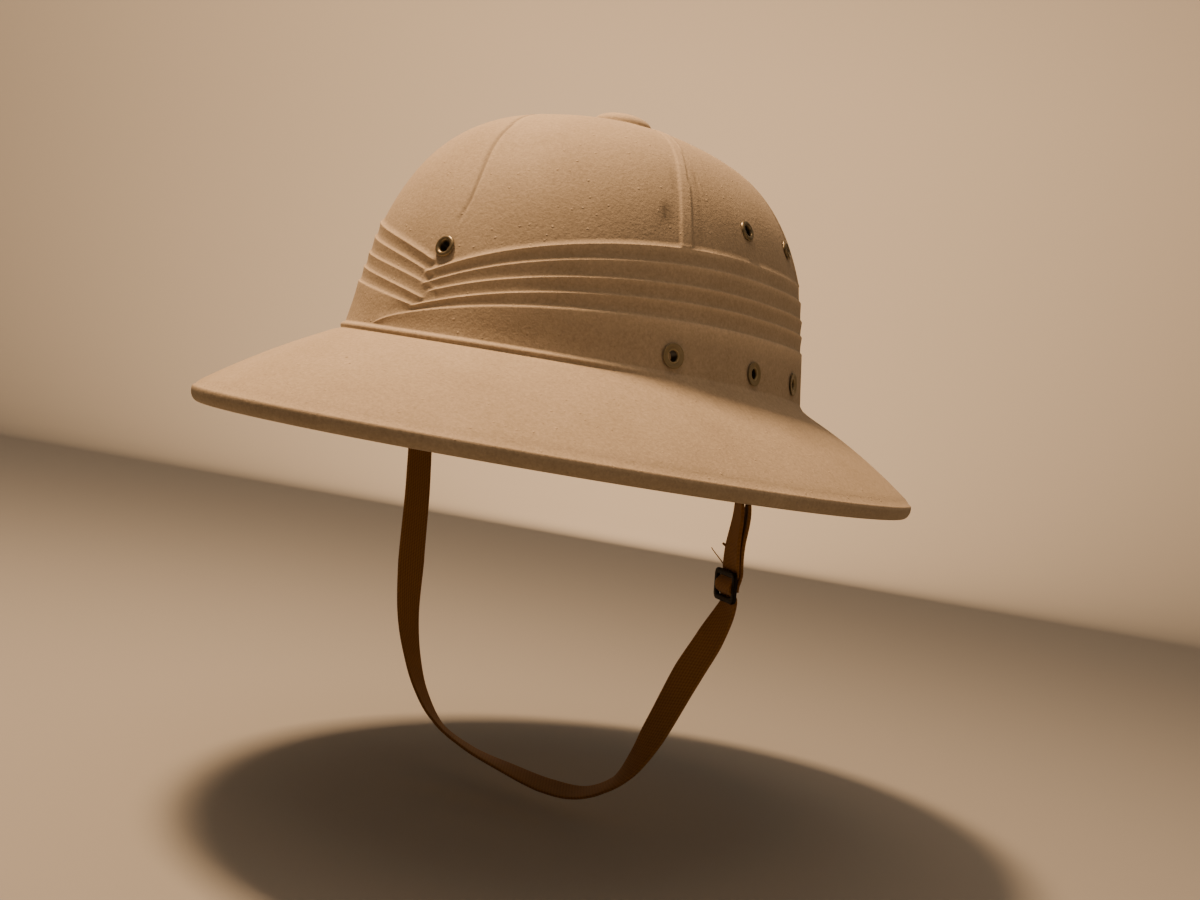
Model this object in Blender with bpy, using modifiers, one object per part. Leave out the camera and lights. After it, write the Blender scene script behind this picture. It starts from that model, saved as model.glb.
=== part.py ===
"""Pith helmet: a pressed-fibre sun helmet with a webbing chin strap.

Frame: metres, +Z up through the crown, the front of the hat towards -Y and the
wearer's left towards +X.  The origin is the centre of the head opening, level
with the foot of the crown.  Lengths below are written in millimetres and turned
to metres where the meshes are made.
"""

import math

import bmesh
import bpy
from mathutils import Matrix, Vector

MM = 0.001

# ---- crown -------------------------------------------------------------------
CROWN_HALF_LENGTH = 100.5
CROWN_HALF_WIDTH = 83.0
CROWN_HEIGHT = 98.5
CROWN_CORNER_LOW = 2.26       # exponent of the crown's oval at its foot
CROWN_CORNER_TOP = 2.36       # and at its top, where the oval is a little squarer
CROWN_LEAN = 0.066            # share of the radius lost by leaning walls
DOME_RISE_POWER = 2.55
DOME_ROUND_POWER = 3.05
FOOT_FLARE = 2.4              # the walls spread by this much at the crown's foot
FLARE_HEIGHT = 26.0           # and by nothing from this height up
FLARE_POWER = 1.3
WALL = 2.1

# ---- brim --------------------------------------------------------------------
BRIM_HALF_LENGTH = 171.5
BRIM_HALF_WIDTH = 134.6
BRIM_SET_BACK = 6.4           # the brim's oval sits this far behind the crown's
BRIM_DROP_FRONT = 31.8
BRIM_DROP_SIDE = 32.7
BRIM_DROP_REAR = 33.0
BRIM_BULGE_FRONT = 2.5
BRIM_BULGE_SIDE = 1.1
BRIM_BULGE_REAR = 5.5
BRIM_WALL = 2.4
CREASE_FORE_AFT = 1.3         # the crease is this much higher in front than behind
CREASE_SIDE_RISE = 1.2        # and this much higher at the sides
CREASE_DROP = 1.4             # and this much lower all round than the crown's zero height

# The turned-down edge: how far inboard of the outermost line and how far below
# the brim's top edge each row of the rounded lip lies.
LIP_ROWS = (
    # inboard, below
    (0.35, 0.20),
    (0.00, 1.30),
    (0.10, 2.80),
    (0.60, 4.25),
    (1.55, 5.45),
    (2.65, 5.80),
    (3.30, 4.00),
)
# The small cove where the brim leaves the crown.
COVE_WALL_ROWS = (
    # outward, above the crease
    (0.00, 2.80),
    (0.40, 1.00),
)
COVE_BRIM_ROWS = (
    # outboard of the crown, lift off the brim's own slope
    (2.00, 0.75),
    (4.60, 0.15),
)

# ---- moulded pleats round the crown -------------------------------------------
PLEATS = (
    # height at the front, height at the side, step out
    (25.3, 49.8, 0.8),
    (20.4, 43.2, 0.7),
    (16.4, 35.6, 0.7),
    (12.0, 29.2, 0.7),
    (9.0, 22.1, 0.7),
)
PLEAT_SWEEP_POWER = 2.55      # how quickly a pleat climbs from the front centre
PLEAT_REAR_DROP = 1.5
PLEAT_LEDGE = 1.2             # height of the sloping ledge at a pleat's top
PLEAT_FOOT = 3.4              # height at which the lowest pleat fades out

# ---- moulded ribs that divide the crown into six panels -----------------------
RIB_ANGLES = (58.0, 126.0, 234.0, 302.0)
RIB_WIDTH = 5.2
RIB_HEIGHT = 0.7
RIB_SHOULDER = 1.1            # width of a rib's sloping side
RIB_END_RADIUS = 24.0         # ribs fade before they reach the button

# ---- mesh density -------------------------------------------------------------
BASE_COLUMNS = 60
RIB_CLEARANCE = 2.4           # degrees kept free of plain columns beside a rib
DOME_STEPS = (0.10, 0.20, 0.30, 0.40, 0.50, 0.60, 0.70, 0.80, 0.90, 0.97)
INNER_STEPS = (0.0, 0.15, 0.30, 0.45, 0.60, 0.72, 0.84, 0.94)
BRIM_STEPS = (0.14, 0.32, 0.50, 0.68, 0.86)
UNDERSIDE_STEPS = (0.94, 0.74, 0.50, 0.26)

# ---- eyelets ------------------------------------------------------------------
UPPER_EYELET_HEIGHT = 61.3
FRONT_EYELET_HEIGHT = 32.6
UPPER_EYELET_ANGLES = (83.8, 115.8)
BASE_EYELET_HEIGHT = 7.7
BASE_EYELET_ANGLES = (55.2, 85.3, 111.5)
HANGER_EYELET_ANGLE = 85.3
EYELET_HOLE = 6.1             # bore through the shell
EYELET_BARREL = 5.2
EYELET_STEPS = 12
FIT_GAP = 0.35                # air between touching pieces
UPPER_RING = (8.3, 4.4, 1.0, 0.38)  # outer diameter, hole, height, air under the ring
BASE_RING = (9.3, 4.2, 0.9, 0.50)

# ---- top button ---------------------------------------------------------------
BUTTON_HOLE = 7.4
BUTTON_PROFILE = (
    # radius, height above the crown's top; from the top centre down to the stem's foot
    (0.0, 7.5),
    (5.0, 7.2),
    (8.6, 6.3),
    (11.2, 4.5),
    (12.5, 2.5),
    (12.5, 1.3),
    (11.2, 0.45),
    (3.0, 0.45),
    (3.0, -2.7),
    (7.0, -2.7),
    (7.0, -3.5),
    (0.0, -3.5),
)
BUTTON_STEPS = 20

# ---- strap hangers ------------------------------------------------------------
HANGER_THICKNESS = 1.2
HANGER_GAP = 0.65             # plate to wall at its centre; the wall curves towards it
HANGER_TOP = 6.5              # above the eyelet's centre
HANGER_BAR_LOW = 15.3         # foot of the bar below the eyelet's centre
HANGER_BAR = 2.4              # height of the bar that the strap folds over
HANGER_SLOT = 3.4
HANGER_WIDTH = 17.4
HANGER_HEAD_WIDTH = 12.0

# ---- chin strap ---------------------------------------------------------------
STRAP_WIDTH = 12.7
STRAP_THICKNESS = 1.3
STRAP_FOLD_RADIUS = 2.4       # centre line round a hanger's bar
STRAP_STEP = 7.0              # longest run between two sections

# Centre line of the loop.  "turn" is how far the webbing's width is twisted from
# fore-and-aft towards the inside of the loop, in degrees.
RIGHT_AND_LOWER_RUN = (
    # x,     y,     z,      turn
    (-79.4, -3.0, -30.0, 8.0),
    (-76.0, -0.2, -60.0, 16.0),
    (-74.1, 2.3, -97.0, 24.0),
    (-71.8, 4.0, -121.0, 5.0),
    (-67.2, 5.3, -137.0, -8.0),
    (-60.0, 6.5, -151.5, -17.0),
    (-48.1, 7.4, -163.6, -24.0),
    (-30.0, 7.8, -169.8, -14.0),
    (-8.0, 7.9, -172.6, 0.0),
    (14.0, 8.1, -174.2, 12.0),
    (31.0, 7.9, -172.2, 15.0),
    (44.6, 7.4, -164.8, 24.0),
    (53.8, 6.6, -154.0, 52.0),
    (61.6, 5.4, -139.0, 76.0),
    (73.0, 3.5, -112.0, 92.0),
    (81.0, 2.2, -95.6, 82.0),
)
LEFT_INNER_RUN = (
    (85.5, -1.0, -58.2, 52.0),
    (85.6, -1.7, -43.0, 42.0),
    (81.6, -3.4, -24.0, 20.0),
)
LEFT_OUTER_RUN = (
    # going down: the turn has the other sign
    (84.8, -3.2, -24.0, -18.0),
    (88.4, 0.3, -43.0, -35.0),
    (87.0, 0.4, -58.0, -50.0),
)
TAIL_RUN = (0.6, 0.0, -12.0)  # the sewn end, inside the first hanger

# ---- slider buckle ------------------------------------------------------------
SLIDER_CENTRE = (84.5, 0.5, -74.0)
SLIDER_TURN = 56.0
SLIDER_UP = (-0.06, -0.10, 0.993)
SLIDER_WIDTH = 16.9
SLIDER_LENGTH = 12.4
SLIDER_THICKNESS = 1.6
SLIDER_SIDE_BAR = 1.8
SLIDER_END_BAR = 1.9
SLIDER_MIDDLE_BAR = 1.4
SLIDER_MIDDLE_THICKNESS = 0.7
SLIDER_CORNER = 2.2

# How the strap threads the slider: along the strap, and out of the frame's back face.
THREADING = (
    (-7.4, -1.00),
    (-4.4, -1.00),
    (-3.4, -0.62),
    (-2.5, 0.35),
    (-1.5, 1.45),
    (-0.6, 1.75),
    (0.6, 1.75),
    (1.5, 1.45),
    (2.5, 0.35),
    (3.4, -0.62),
    (4.4, -1.00),
    (7.4, -1.00),
)
# The strap's loose end, down behind the slider.
END_RUN = (
    (7.4, -2.75),
    (4.6, -2.75),
    (2.6, -2.25),
    (0.4, -1.55),
    (-1.6, -1.40),
)


# ==============================================================================
# Scene helpers
# ==============================================================================

def clear_scene():
    for scene_object in list(bpy.data.objects):
        bpy.data.objects.remove(scene_object, do_unlink=True)


def new_collection(name):
    collection = bpy.data.collections.new(name)
    bpy.context.scene.collection.children.link(collection)
    return collection


def make_material(name, colour, roughness, metallic=0.0):
    material = bpy.data.materials.new(name)
    material.use_nodes = True
    shader = material.node_tree.nodes["Principled BSDF"]
    shader.inputs["Base Color"].default_value = (*colour, 1.0)
    shader.inputs["Roughness"].default_value = roughness
    shader.inputs["Metallic"].default_value = metallic
    return material


def add_object(name, mesh, collection, material=None):
    piece = bpy.data.objects.new(name, mesh)
    collection.objects.link(piece)
    if material is not None and not mesh.materials:
        mesh.materials.append(material)
    return piece


def mesh_from_grid(name, rows, closed_rows, first_pole=None, last_pole=None, caps=False):
    """Mesh from rows of points in millimetres, joined row to row."""
    grid = bmesh.new()
    verts = [[grid.verts.new(Vector(point) * MM) for point in row] for row in rows]
    count = len(verts[0])
    spans = count if closed_rows else count - 1
    for upper, lower in zip(verts, verts[1:]):
        for i in range(spans):
            j = (i + 1) % count
            grid.faces.new((upper[i], lower[i], lower[j], upper[j]))
    for pole, ring in ((first_pole, verts[0]), (last_pole, verts[-1])):
        if pole is None:
            continue
        tip = grid.verts.new(Vector(pole) * MM)
        for i in range(count):
            grid.faces.new((tip, ring[i], ring[(i + 1) % count]))
    if caps:
        grid.faces.new(verts[0])
        grid.faces.new(verts[-1])
    bmesh.ops.recalc_face_normals(grid, faces=grid.faces)
    mesh = bpy.data.meshes.new(name)
    grid.to_mesh(mesh)
    grid.free()
    return mesh


def smooth(mesh, angle=35.0):
    mesh.shade_smooth()
    mesh.set_sharp_from_angle(angle=math.radians(angle))


def placement(origin, side, up, out):
    """World matrix with the local x, y and z axes along side, up and out."""
    matrix = Matrix((side, up, out)).transposed().to_4x4()
    matrix.translation = Vector(origin) * MM
    return matrix


# ==============================================================================
# The hat's form, as formulas in polar angle: 0 is the front, 90 the wearer's left
# ==============================================================================

def oval(angle, half_width, half_length, power):
    """Distance from the centre to a superellipse at a polar angle."""
    across = abs(math.sin(angle)) / half_width
    along = abs(math.cos(angle)) / half_length
    return (across ** power + along ** power) ** (-1.0 / power)


def crown_taper(share):
    share = min(max(share, 0.0), 1.0)
    dome = max(1.0 - share ** DOME_RISE_POWER, 0.0) ** (1.0 / DOME_ROUND_POWER)
    return (1.0 - CROWN_LEAN * share) * dome


def crown_radius(angle, height, inset=0.0):
    """Radius of the plain crown, or of one lying inside it by inset."""
    share = max(height, 0.0) / (CROWN_HEIGHT - inset)
    power = CROWN_CORNER_LOW + (CROWN_CORNER_TOP - CROWN_CORNER_LOW) * min(share, 1.0)
    width = CROWN_HALF_WIDTH - inset
    length = CROWN_HALF_LENGTH - inset
    low = max(1.0 - max(height, 0.0) / FLARE_HEIGHT, 0.0)
    flare = FOOT_FLARE * low ** FLARE_POWER
    return oval(angle, width, length, power) * crown_taper(share) + flare


def crease_height(angle):
    ends = CREASE_FORE_AFT * math.cos(angle) - CREASE_SIDE_RISE * math.cos(2 * angle)
    return ends - CREASE_DROP


def pleat_height(pleat, angle):
    """Height of a pleat's ledge: low at the front centre, level round the sides."""
    front, side, _ = PLEATS[pleat]
    turn = math.degrees(math.acos(max(-1.0, min(1.0, math.cos(angle)))))
    if turn <= 90.0:
        return front + (side - front) * (1.0 - (1.0 - turn / 90.0) ** PLEAT_SWEEP_POWER)
    return side - PLEAT_REAR_DROP * ((turn - 90.0) / 90.0) ** 2


def pleat_relief(angle, height):
    """How far the pleats stand out of the plain crown at a height."""
    half = PLEAT_LEDGE / 2.0
    for index in range(len(PLEATS)):
        step = PLEATS[index][2]
        middle = pleat_height(index, angle)
        if height >= middle + half:
            return 0.0
        if height >= middle - half:
            return step * (middle + half - height) / PLEAT_LEDGE
        below = PLEAT_FOOT
        if index + 1 < len(PLEATS):
            below = pleat_height(index + 1, angle) + half
        if height >= below:
            return step * (height - below) / (middle - half - below)
    return 0.0


def rib_relief(angle, height, radius):
    """How far a panel rib stands out of the plain crown."""
    top_pleat = pleat_height(0, angle) + PLEAT_LEDGE / 2.0
    if height < top_pleat or radius < RIB_END_RADIUS:
        return 0.0
    for rib in RIB_ANGLES:
        swing = math.remainder(angle - math.radians(rib), 2 * math.pi)
        aside = abs(swing) * radius
        if aside < RIB_WIDTH / 2.0:
            return RIB_HEIGHT * min(1.0, (RIB_WIDTH / 2.0 - aside) / RIB_SHOULDER + 0.02)
    return 0.0


def crown_point(angle, height):
    """A point of the crown's outer face, with its pleats and ribs."""
    radius = crown_radius(angle, height)
    radius += pleat_relief(angle, height) + rib_relief(angle, height, radius)
    return polar(angle, radius, height)


def polar(angle, radius, height):
    return (radius * math.sin(angle), -radius * math.cos(angle), height)


def by_side(angle, front, side, rear):
    """Blend a front, side and rear value round the hat."""
    along = math.cos(angle) ** 2
    end = front if math.cos(angle) > 0.0 else rear
    return side * (1.0 - along) + end * along


def brim_edge(angle):
    """The brim's top edge at a polar angle about the brim's own centre."""
    radius = oval(angle, BRIM_HALF_WIDTH, BRIM_HALF_LENGTH, 2.0)
    drop = by_side(angle, BRIM_DROP_FRONT, BRIM_DROP_SIDE, BRIM_DROP_REAR)
    x, y, _ = polar(angle, radius, 0.0)
    return Vector((x, y + BRIM_SET_BACK, -drop))


def brim_foot(angle):
    """Where the brim's own slope meets the crown."""
    return Vector(polar(angle, crown_radius(angle, 0.0), crease_height(angle)))


def brim_point(angle, share):
    """A point of the brim's top face, from 0 at the crown to 1 at the edge."""
    point = brim_foot(angle).lerp(brim_edge(angle), share)
    bulge = by_side(angle, BRIM_BULGE_FRONT, BRIM_BULGE_SIDE, BRIM_BULGE_REAR)
    point.z += bulge * 4.0 * share * (1.0 - share)
    return point


# ==============================================================================
# Shell
# ==============================================================================

def column_angles():
    """Polar angles of the shell's columns, with four on each rib."""
    plain = [360.0 * i / BASE_COLUMNS for i in range(BASE_COLUMNS)]
    angles = [a for a in plain if all(abs(a - rib) > RIB_CLEARANCE for rib in RIB_ANGLES)]
    foot = math.degrees(RIB_WIDTH / 2.0 / CROWN_HALF_WIDTH)
    crest = math.degrees((RIB_WIDTH / 2.0 - RIB_SHOULDER) / CROWN_HALF_WIDTH)
    for rib in RIB_ANGLES:
        angles += [rib - foot, rib - crest, rib + crest, rib + foot]
    return [math.radians(a) for a in sorted(angles)]


def crown_row(columns, heights):
    return [crown_point(angle, heights(angle)) for angle in columns]


def dome_rows(columns):
    """Rows of the dome, from the top down to the highest pleat."""
    def height_at(step):
        def height(angle):
            start = pleat_height(0, angle) + PLEAT_LEDGE / 2.0
            return start + (CROWN_HEIGHT - start) * math.sin(step * math.pi / 2.0)
        return height
    return [crown_row(columns, height_at(step)) for step in reversed(DOME_STEPS)]


def pleat_rows(columns):
    """Two rows for each pleat: the top of its ledge and its nose."""
    rows = []
    for index in range(len(PLEATS)):
        for side in (PLEAT_LEDGE / 2.0, -PLEAT_LEDGE / 2.0):
            rows.append(crown_row(columns, lambda a, i=index, s=side: pleat_height(i, a) + s))
    return rows


def cove_rows(columns):
    """Rows of the wall's foot and of the cove that turns it into the brim."""
    rows = []
    for outward, above in COVE_WALL_ROWS:
        row = []
        for angle in columns:
            height = crease_height(angle) + above
            row.append(polar(angle, crown_radius(angle, height) + outward, height))
        rows.append(row)
    for outboard, lift in COVE_BRIM_ROWS:
        row = []
        for angle in columns:
            reach = (brim_edge(angle) - brim_foot(angle)).xy.length
            point = brim_point(angle, outboard / reach)
            row.append((point.x, point.y, point.z + lift))
        rows.append(row)
    return rows


def lip_rows(columns):
    """Rows of the turned-down, rounded edge."""
    rows = []
    for inboard, below in LIP_ROWS:
        row = []
        for angle in columns:
            edge = brim_edge(angle)
            inward = (brim_foot(angle) - edge).xy.normalized() * inboard
            row.append((edge.x + inward.x, edge.y + inward.y, edge.z - below))
        rows.append(row)
    return rows


def underside_rows(columns):
    """Rows of the brim's lower face, from the edge in to the head opening."""
    rows = []
    for share in UNDERSIDE_STEPS:
        row = []
        for angle in columns:
            run = brim_edge(angle) - brim_foot(angle)
            depth = BRIM_WALL * run.length / run.xy.length
            point = brim_point(angle, share)
            row.append((point.x, point.y, point.z - depth))
        rows.append(row)
    corner = []
    for angle in columns:
        radius = crown_radius(angle, 0.0, WALL) + 0.9
        corner.append(polar(angle, radius, crease_height(angle) - BRIM_WALL))
    rows.append(corner)
    return rows


def inner_crown_rows(columns):
    """Rows of the smooth inside of the crown, from the head opening up."""
    rows = []
    for step in INNER_STEPS:
        row = []
        for angle in columns:
            top = CROWN_HEIGHT - WALL
            height = top * math.sin(step * math.pi / 2.0)
            radius = crown_radius(angle, height, WALL)
            row.append(polar(angle, radius, max(height, crease_height(angle) * (1 - step))))
        rows.append(row)
    return rows


def build_shell(collection, cutters, material):
    """Crown and brim as one hollow moulding, pierced for the eyelets and the button."""
    columns = column_angles()
    rows = dome_rows(columns) + pleat_rows(columns) + cove_rows(columns)
    rows += [[tuple(brim_point(a, share)) for a in columns] for share in BRIM_STEPS]
    rows += lip_rows(columns) + underside_rows(columns) + inner_crown_rows(columns)
    mesh = mesh_from_grid(
        "shell", rows, closed_rows=True,
        first_pole=(0.0, 0.0, CROWN_HEIGHT),
        last_pole=(0.0, 0.0, CROWN_HEIGHT - WALL))
    smooth(mesh)
    shell = add_object("shell", mesh, collection, material)
    holes = shell.modifiers.new("eyelet_holes", "BOOLEAN")
    holes.operation = "DIFFERENCE"
    holes.operand_type = "COLLECTION"
    holes.collection = cutters
    return shell


# ==============================================================================
# Eyelets and the top button
# ==============================================================================

def wall_frame(degrees, height, relief=True):
    """Point of the crown's outer face with its side, up and outward directions."""
    angle = math.radians(degrees)
    swing, rise = 0.03, 2.0

    def surface(at, up_to):
        if relief:
            return Vector(crown_point(at, up_to))
        return Vector(polar(at, crown_radius(at, up_to), up_to))

    side = (surface(angle + swing, height) - surface(angle - swing, height)).normalized()
    climb = surface(angle, height + rise) - surface(angle, height - rise)
    out = side.cross(climb).normalized()
    return surface(angle, height), side, out.cross(side), out


def turned_mesh(name, profile, steps, closed):
    """Mesh turned about its own Z axis from a profile of radius and height."""
    outline = bmesh.new()
    verts = [outline.verts.new((radius * MM, 0.0, height * MM)) for radius, height in profile]
    for first, second in zip(verts, verts[1:]):
        outline.edges.new((first, second))
    if closed:
        outline.edges.new((verts[-1], verts[0]))
    mesh = bpy.data.meshes.new(name + "_outline")
    outline.to_mesh(mesh)
    outline.free()
    blank = bpy.data.objects.new(name + "_outline", mesh)
    bpy.context.scene.collection.objects.link(blank)
    turning = blank.modifiers.new("turn", "SCREW")
    turning.steps = steps
    turning.render_steps = steps
    turning.use_merge_vertices = True
    turning.merge_threshold = 0.00001
    graph = bpy.context.evaluated_depsgraph_get()
    turned = bpy.data.meshes.new_from_object(blank.evaluated_get(graph))
    bpy.data.objects.remove(blank, do_unlink=True)
    shape = bmesh.new()
    shape.from_mesh(turned)
    bmesh.ops.recalc_face_normals(shape, faces=shape.faces)
    shape.to_mesh(turned)
    shape.free()
    turned.name = name
    smooth(turned, 40.0)
    return turned


def eyelet_profile(ring, back):
    """Closed outline of an eyelet: domed ring, barrel and rolled back flange."""
    outer, hole, height, air = ring
    lip = outer / 2.0
    bore = hole / 2.0
    barrel = EYELET_BARREL / 2.0
    return (
        (bore, height * 0.35),
        ((lip + bore) / 2.0, height + 0.1),
        (lip, air + height * 0.3),
        (lip - 0.2, air),
        (barrel, air),
        (barrel, -back),
        (barrel + 1.0, -back - 0.1),
        (bore, -back - 0.7),
    )


def add_cutter(name, centre, out, diameter, length, cutters):
    """Round cutter through the wall at a point."""
    shape = bmesh.new()
    bmesh.ops.create_cone(
        shape, cap_ends=True, segments=EYELET_STEPS,
        radius1=diameter / 2.0 * MM, radius2=diameter / 2.0 * MM, depth=length * MM)
    mesh = bpy.data.meshes.new(name)
    shape.to_mesh(mesh)
    shape.free()
    cutter = add_object(name, mesh, cutters)
    cutter.rotation_mode = "QUATERNION"
    cutter.rotation_quaternion = Vector((0.0, 0.0, 1.0)).rotation_difference(out)
    cutter.location = Vector(centre) * MM
    cutter.hide_render = True
    cutter.display_type = "WIRE"


def wall_at(height, degrees):
    """Thickness of the crown wall at an eyelet."""
    return WALL + pleat_relief(math.radians(degrees), height)


def build_eyelet(name, mesh, degrees, height, collection, cutters):
    """Place one eyelet and cut its hole."""
    centre, side, up, out = wall_frame(degrees, height)
    eyelet = add_object(name, mesh, collection)
    eyelet.matrix_world = placement(centre, side, up, out)
    add_cutter("cut_" + name, centre, out, EYELET_HOLE, 16.0, cutters)


def side_names():
    """Wearer's left and right, with the sign of their polar angle."""
    return (("left", 1.0), ("right", -1.0))


def build_eyelets(collection, cutters, dark_metal, painted_metal):
    """The front eyelet, two upper ones and three at the base on each side."""
    plain_back = WALL + FIT_GAP + 0.45
    upper = turned_mesh(
        "upper_eyelet", eyelet_profile(UPPER_RING, plain_back), EYELET_STEPS, closed=True)
    upper.materials.append(dark_metal)
    base = turned_mesh(
        "base_eyelet", eyelet_profile(BASE_RING, plain_back + 0.3), EYELET_STEPS, closed=True)
    base.materials.append(painted_metal)
    through_back = wall_at(BASE_EYELET_HEIGHT, HANGER_EYELET_ANGLE)
    through_back += HANGER_GAP + HANGER_THICKNESS + FIT_GAP + 0.25
    through = turned_mesh(
        "hanger_eyelet", eyelet_profile(BASE_RING, through_back), EYELET_STEPS, closed=True)
    through.materials.append(painted_metal)

    build_eyelet("front_eyelet", upper, 0.0, FRONT_EYELET_HEIGHT, collection, cutters)
    for side, sign in side_names():
        for place, angle in zip(("middle", "rear"), UPPER_EYELET_ANGLES):
            name = f"side_eyelet_upper_{side}_{place}"
            build_eyelet(name, upper, sign * angle, UPPER_EYELET_HEIGHT, collection, cutters)
        for place, angle in zip(("front", "middle", "rear"), BASE_EYELET_ANGLES):
            name = f"base_eyelet_{side}_{place}"
            mesh = through if angle == HANGER_EYELET_ANGLE else base
            build_eyelet(name, mesh, sign * angle, BASE_EYELET_HEIGHT, collection, cutters)


def build_button(collection, cutters, material):
    """Ventilator button whose stem passes through the crown's top."""
    mesh = turned_mesh("top_button", BUTTON_PROFILE, BUTTON_STEPS, closed=False)
    button = add_object("top_button", mesh, collection, material)
    button.location = (0.0, 0.0, CROWN_HEIGHT * MM)
    top = Vector((0.0, 0.0, CROWN_HEIGHT))
    add_cutter("cut_top_button", top, Vector((0.0, 0.0, 1.0)), BUTTON_HOLE, 12.0, cutters)


# ==============================================================================
# Strap hangers
# ==============================================================================

def hanger_depth():
    """Depth of a hanger's middle plane behind the crown's outer face."""
    wall = wall_at(BASE_EYELET_HEIGHT, HANGER_EYELET_ANGLE)
    return wall + HANGER_GAP + HANGER_THICKNESS / 2.0


def hanger_plane(sign):
    """Middle of a hanger at its eyelet, with the plain wall's side, up and out."""
    centre, _, _, axis = wall_frame(sign * HANGER_EYELET_ANGLE, BASE_EYELET_HEIGHT)
    _, side, up, out = wall_frame(sign * HANGER_EYELET_ANGLE, BASE_EYELET_HEIGHT, relief=False)
    return centre - axis * hanger_depth(), side, up, out


def hanger_bar(sign):
    """Middle of a hanger's bar with its side, up and outward directions."""
    centre, side, up, out = hanger_plane(sign)
    return centre - up * (HANGER_BAR_LOW - HANGER_BAR / 2.0), side, up, out


def add_closed_spline(outline, points):
    """Add one closed straight-sided loop to a flat curve."""
    spline = outline.splines.new("POLY")
    spline.points.add(len(points) - 1)
    for target, (x, y) in zip(spline.points, points):
        target.co = (x * MM, y * MM, 0.0, 1.0)
    spline.use_cyclic_u = True


def circle_points(radius, count):
    turns = [2.0 * math.pi * i / count for i in range(count)]
    return [(radius * math.cos(turn), radius * math.sin(turn)) for turn in turns]


def plate_mesh(name, loops, thickness):
    """Flat plate from an outer loop and the loops of its holes."""
    outline = bpy.data.curves.new(name, "CURVE")
    outline.dimensions = "2D"
    outline.fill_mode = "BOTH"
    outline.extrude = thickness / 2.0 * MM
    for loop in loops:
        add_closed_spline(outline, loop)
    blank = bpy.data.objects.new(name, outline)
    bpy.context.scene.collection.objects.link(blank)
    graph = bpy.context.evaluated_depsgraph_get()
    mesh = bpy.data.meshes.new_from_object(blank.evaluated_get(graph))
    bpy.data.objects.remove(blank, do_unlink=True)
    shape = bmesh.new()
    shape.from_mesh(mesh)
    bmesh.ops.remove_doubles(shape, verts=shape.verts, dist=0.00001)
    bmesh.ops.recalc_face_normals(shape, faces=shape.faces)
    shape.to_mesh(mesh)
    shape.free()
    mesh.name = name
    return mesh


def build_hangers(collection, material):
    """Plain tab behind each middle base eyelet, with the bar that carries the strap."""
    neck = HANGER_HEAD_WIDTH / 2.0
    wide = HANGER_WIDTH / 2.0
    slot_top = -HANGER_BAR_LOW + HANGER_BAR + HANGER_SLOT
    slot_foot = -HANGER_BAR_LOW + HANGER_BAR
    slot_half = STRAP_WIDTH / 2.0 + 0.5
    outer = [
        (-neck + 2.0, HANGER_TOP), (neck - 2.0, HANGER_TOP), (neck, HANGER_TOP - 2.0),
        (neck, slot_top + 4.5), (wide, slot_top + 2.0), (wide, -HANGER_BAR_LOW),
        (-wide, -HANGER_BAR_LOW), (-wide, slot_top + 2.0), (-neck, slot_top + 4.5),
        (-neck, HANGER_TOP - 2.0),
    ]
    slot = [
        (-slot_half, slot_foot), (slot_half, slot_foot),
        (slot_half, slot_top), (-slot_half, slot_top),
    ]
    hole = circle_points(EYELET_HOLE / 2.0, EYELET_STEPS)
    mesh = plate_mesh("strap_hanger", (outer, slot, hole), HANGER_THICKNESS)
    mesh.materials.append(material)
    for side, sign in side_names():
        centre, across, up, out = hanger_plane(sign)
        hanger = add_object("strap_hanger_" + side, mesh, collection)
        hanger.matrix_world = placement(centre, across, up, out)


# ==============================================================================
# Chin strap and its slider
# ==============================================================================

def slider_axes():
    """The slider's side, up and face directions; its face looks out of the loop's front."""
    up = Vector(SLIDER_UP).normalized()
    aft = Vector((0.0, 1.0, 0.0))
    aft = (aft - up * aft.dot(up)).normalized()
    inward = up.cross(aft)
    turn = math.radians(SLIDER_TURN)
    side = aft * math.cos(turn) + inward * math.sin(turn)
    return side, up, up.cross(side)


def slider_station(along, out):
    """A strap station in the slider, from its place along the strap and off the frame."""
    side, up, face = slider_axes()
    back = Vector(SLIDER_CENTRE) - face * (SLIDER_THICKNESS / 2.0)
    return back + up * along + face * out, side


def fold_stations(sign):
    """Up the inside of a hanger's bar, over it and down the outside."""
    bar, side, up, out = hanger_bar(sign)
    points = []
    for step in range(7):
        turn = math.pi * (1.0 - step / 6.0)
        reach = out * math.cos(turn) + up * math.sin(turn)
        points.append(bar + reach * STRAP_FOLD_RADIUS)
    points.insert(0, points[0] - up * 3.0)
    points.append(points[-1] - up * 3.0)
    return [(point, side * sign) for point in points]


def run_stations(table):
    """Stations of a free run, with the width's direction found from each row's turn."""
    points = [Vector(row[:3]) for row in table]
    stations = []
    for index, point in enumerate(points):
        ahead = points[min(index + 1, len(points) - 1)] - points[max(index - 1, 0)]
        tangent = ahead.normalized()
        aft = Vector((0.0, 1.0, 0.0))
        aft = (aft - tangent * aft.dot(tangent)).normalized()
        turn = math.radians(table[index][3])
        stations.append((point, aft * math.cos(turn) + tangent.cross(aft) * math.sin(turn)))
    return stations


def strap_stations():
    """Every station of the strap's centre line, end to end, with its width's direction."""
    stations = fold_stations(-1.0)
    tail_top, tail_width = stations[0]
    stations.insert(0, (tail_top + Vector(TAIL_RUN), tail_width))
    stations += run_stations(RIGHT_AND_LOWER_RUN)
    stations += [slider_station(along, out) for along, out in THREADING]
    stations += run_stations(LEFT_INNER_RUN)
    stations += fold_stations(1.0)
    stations += run_stations(LEFT_OUTER_RUN)
    stations += [slider_station(along, out) for along, out in END_RUN]
    return stations


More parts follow.
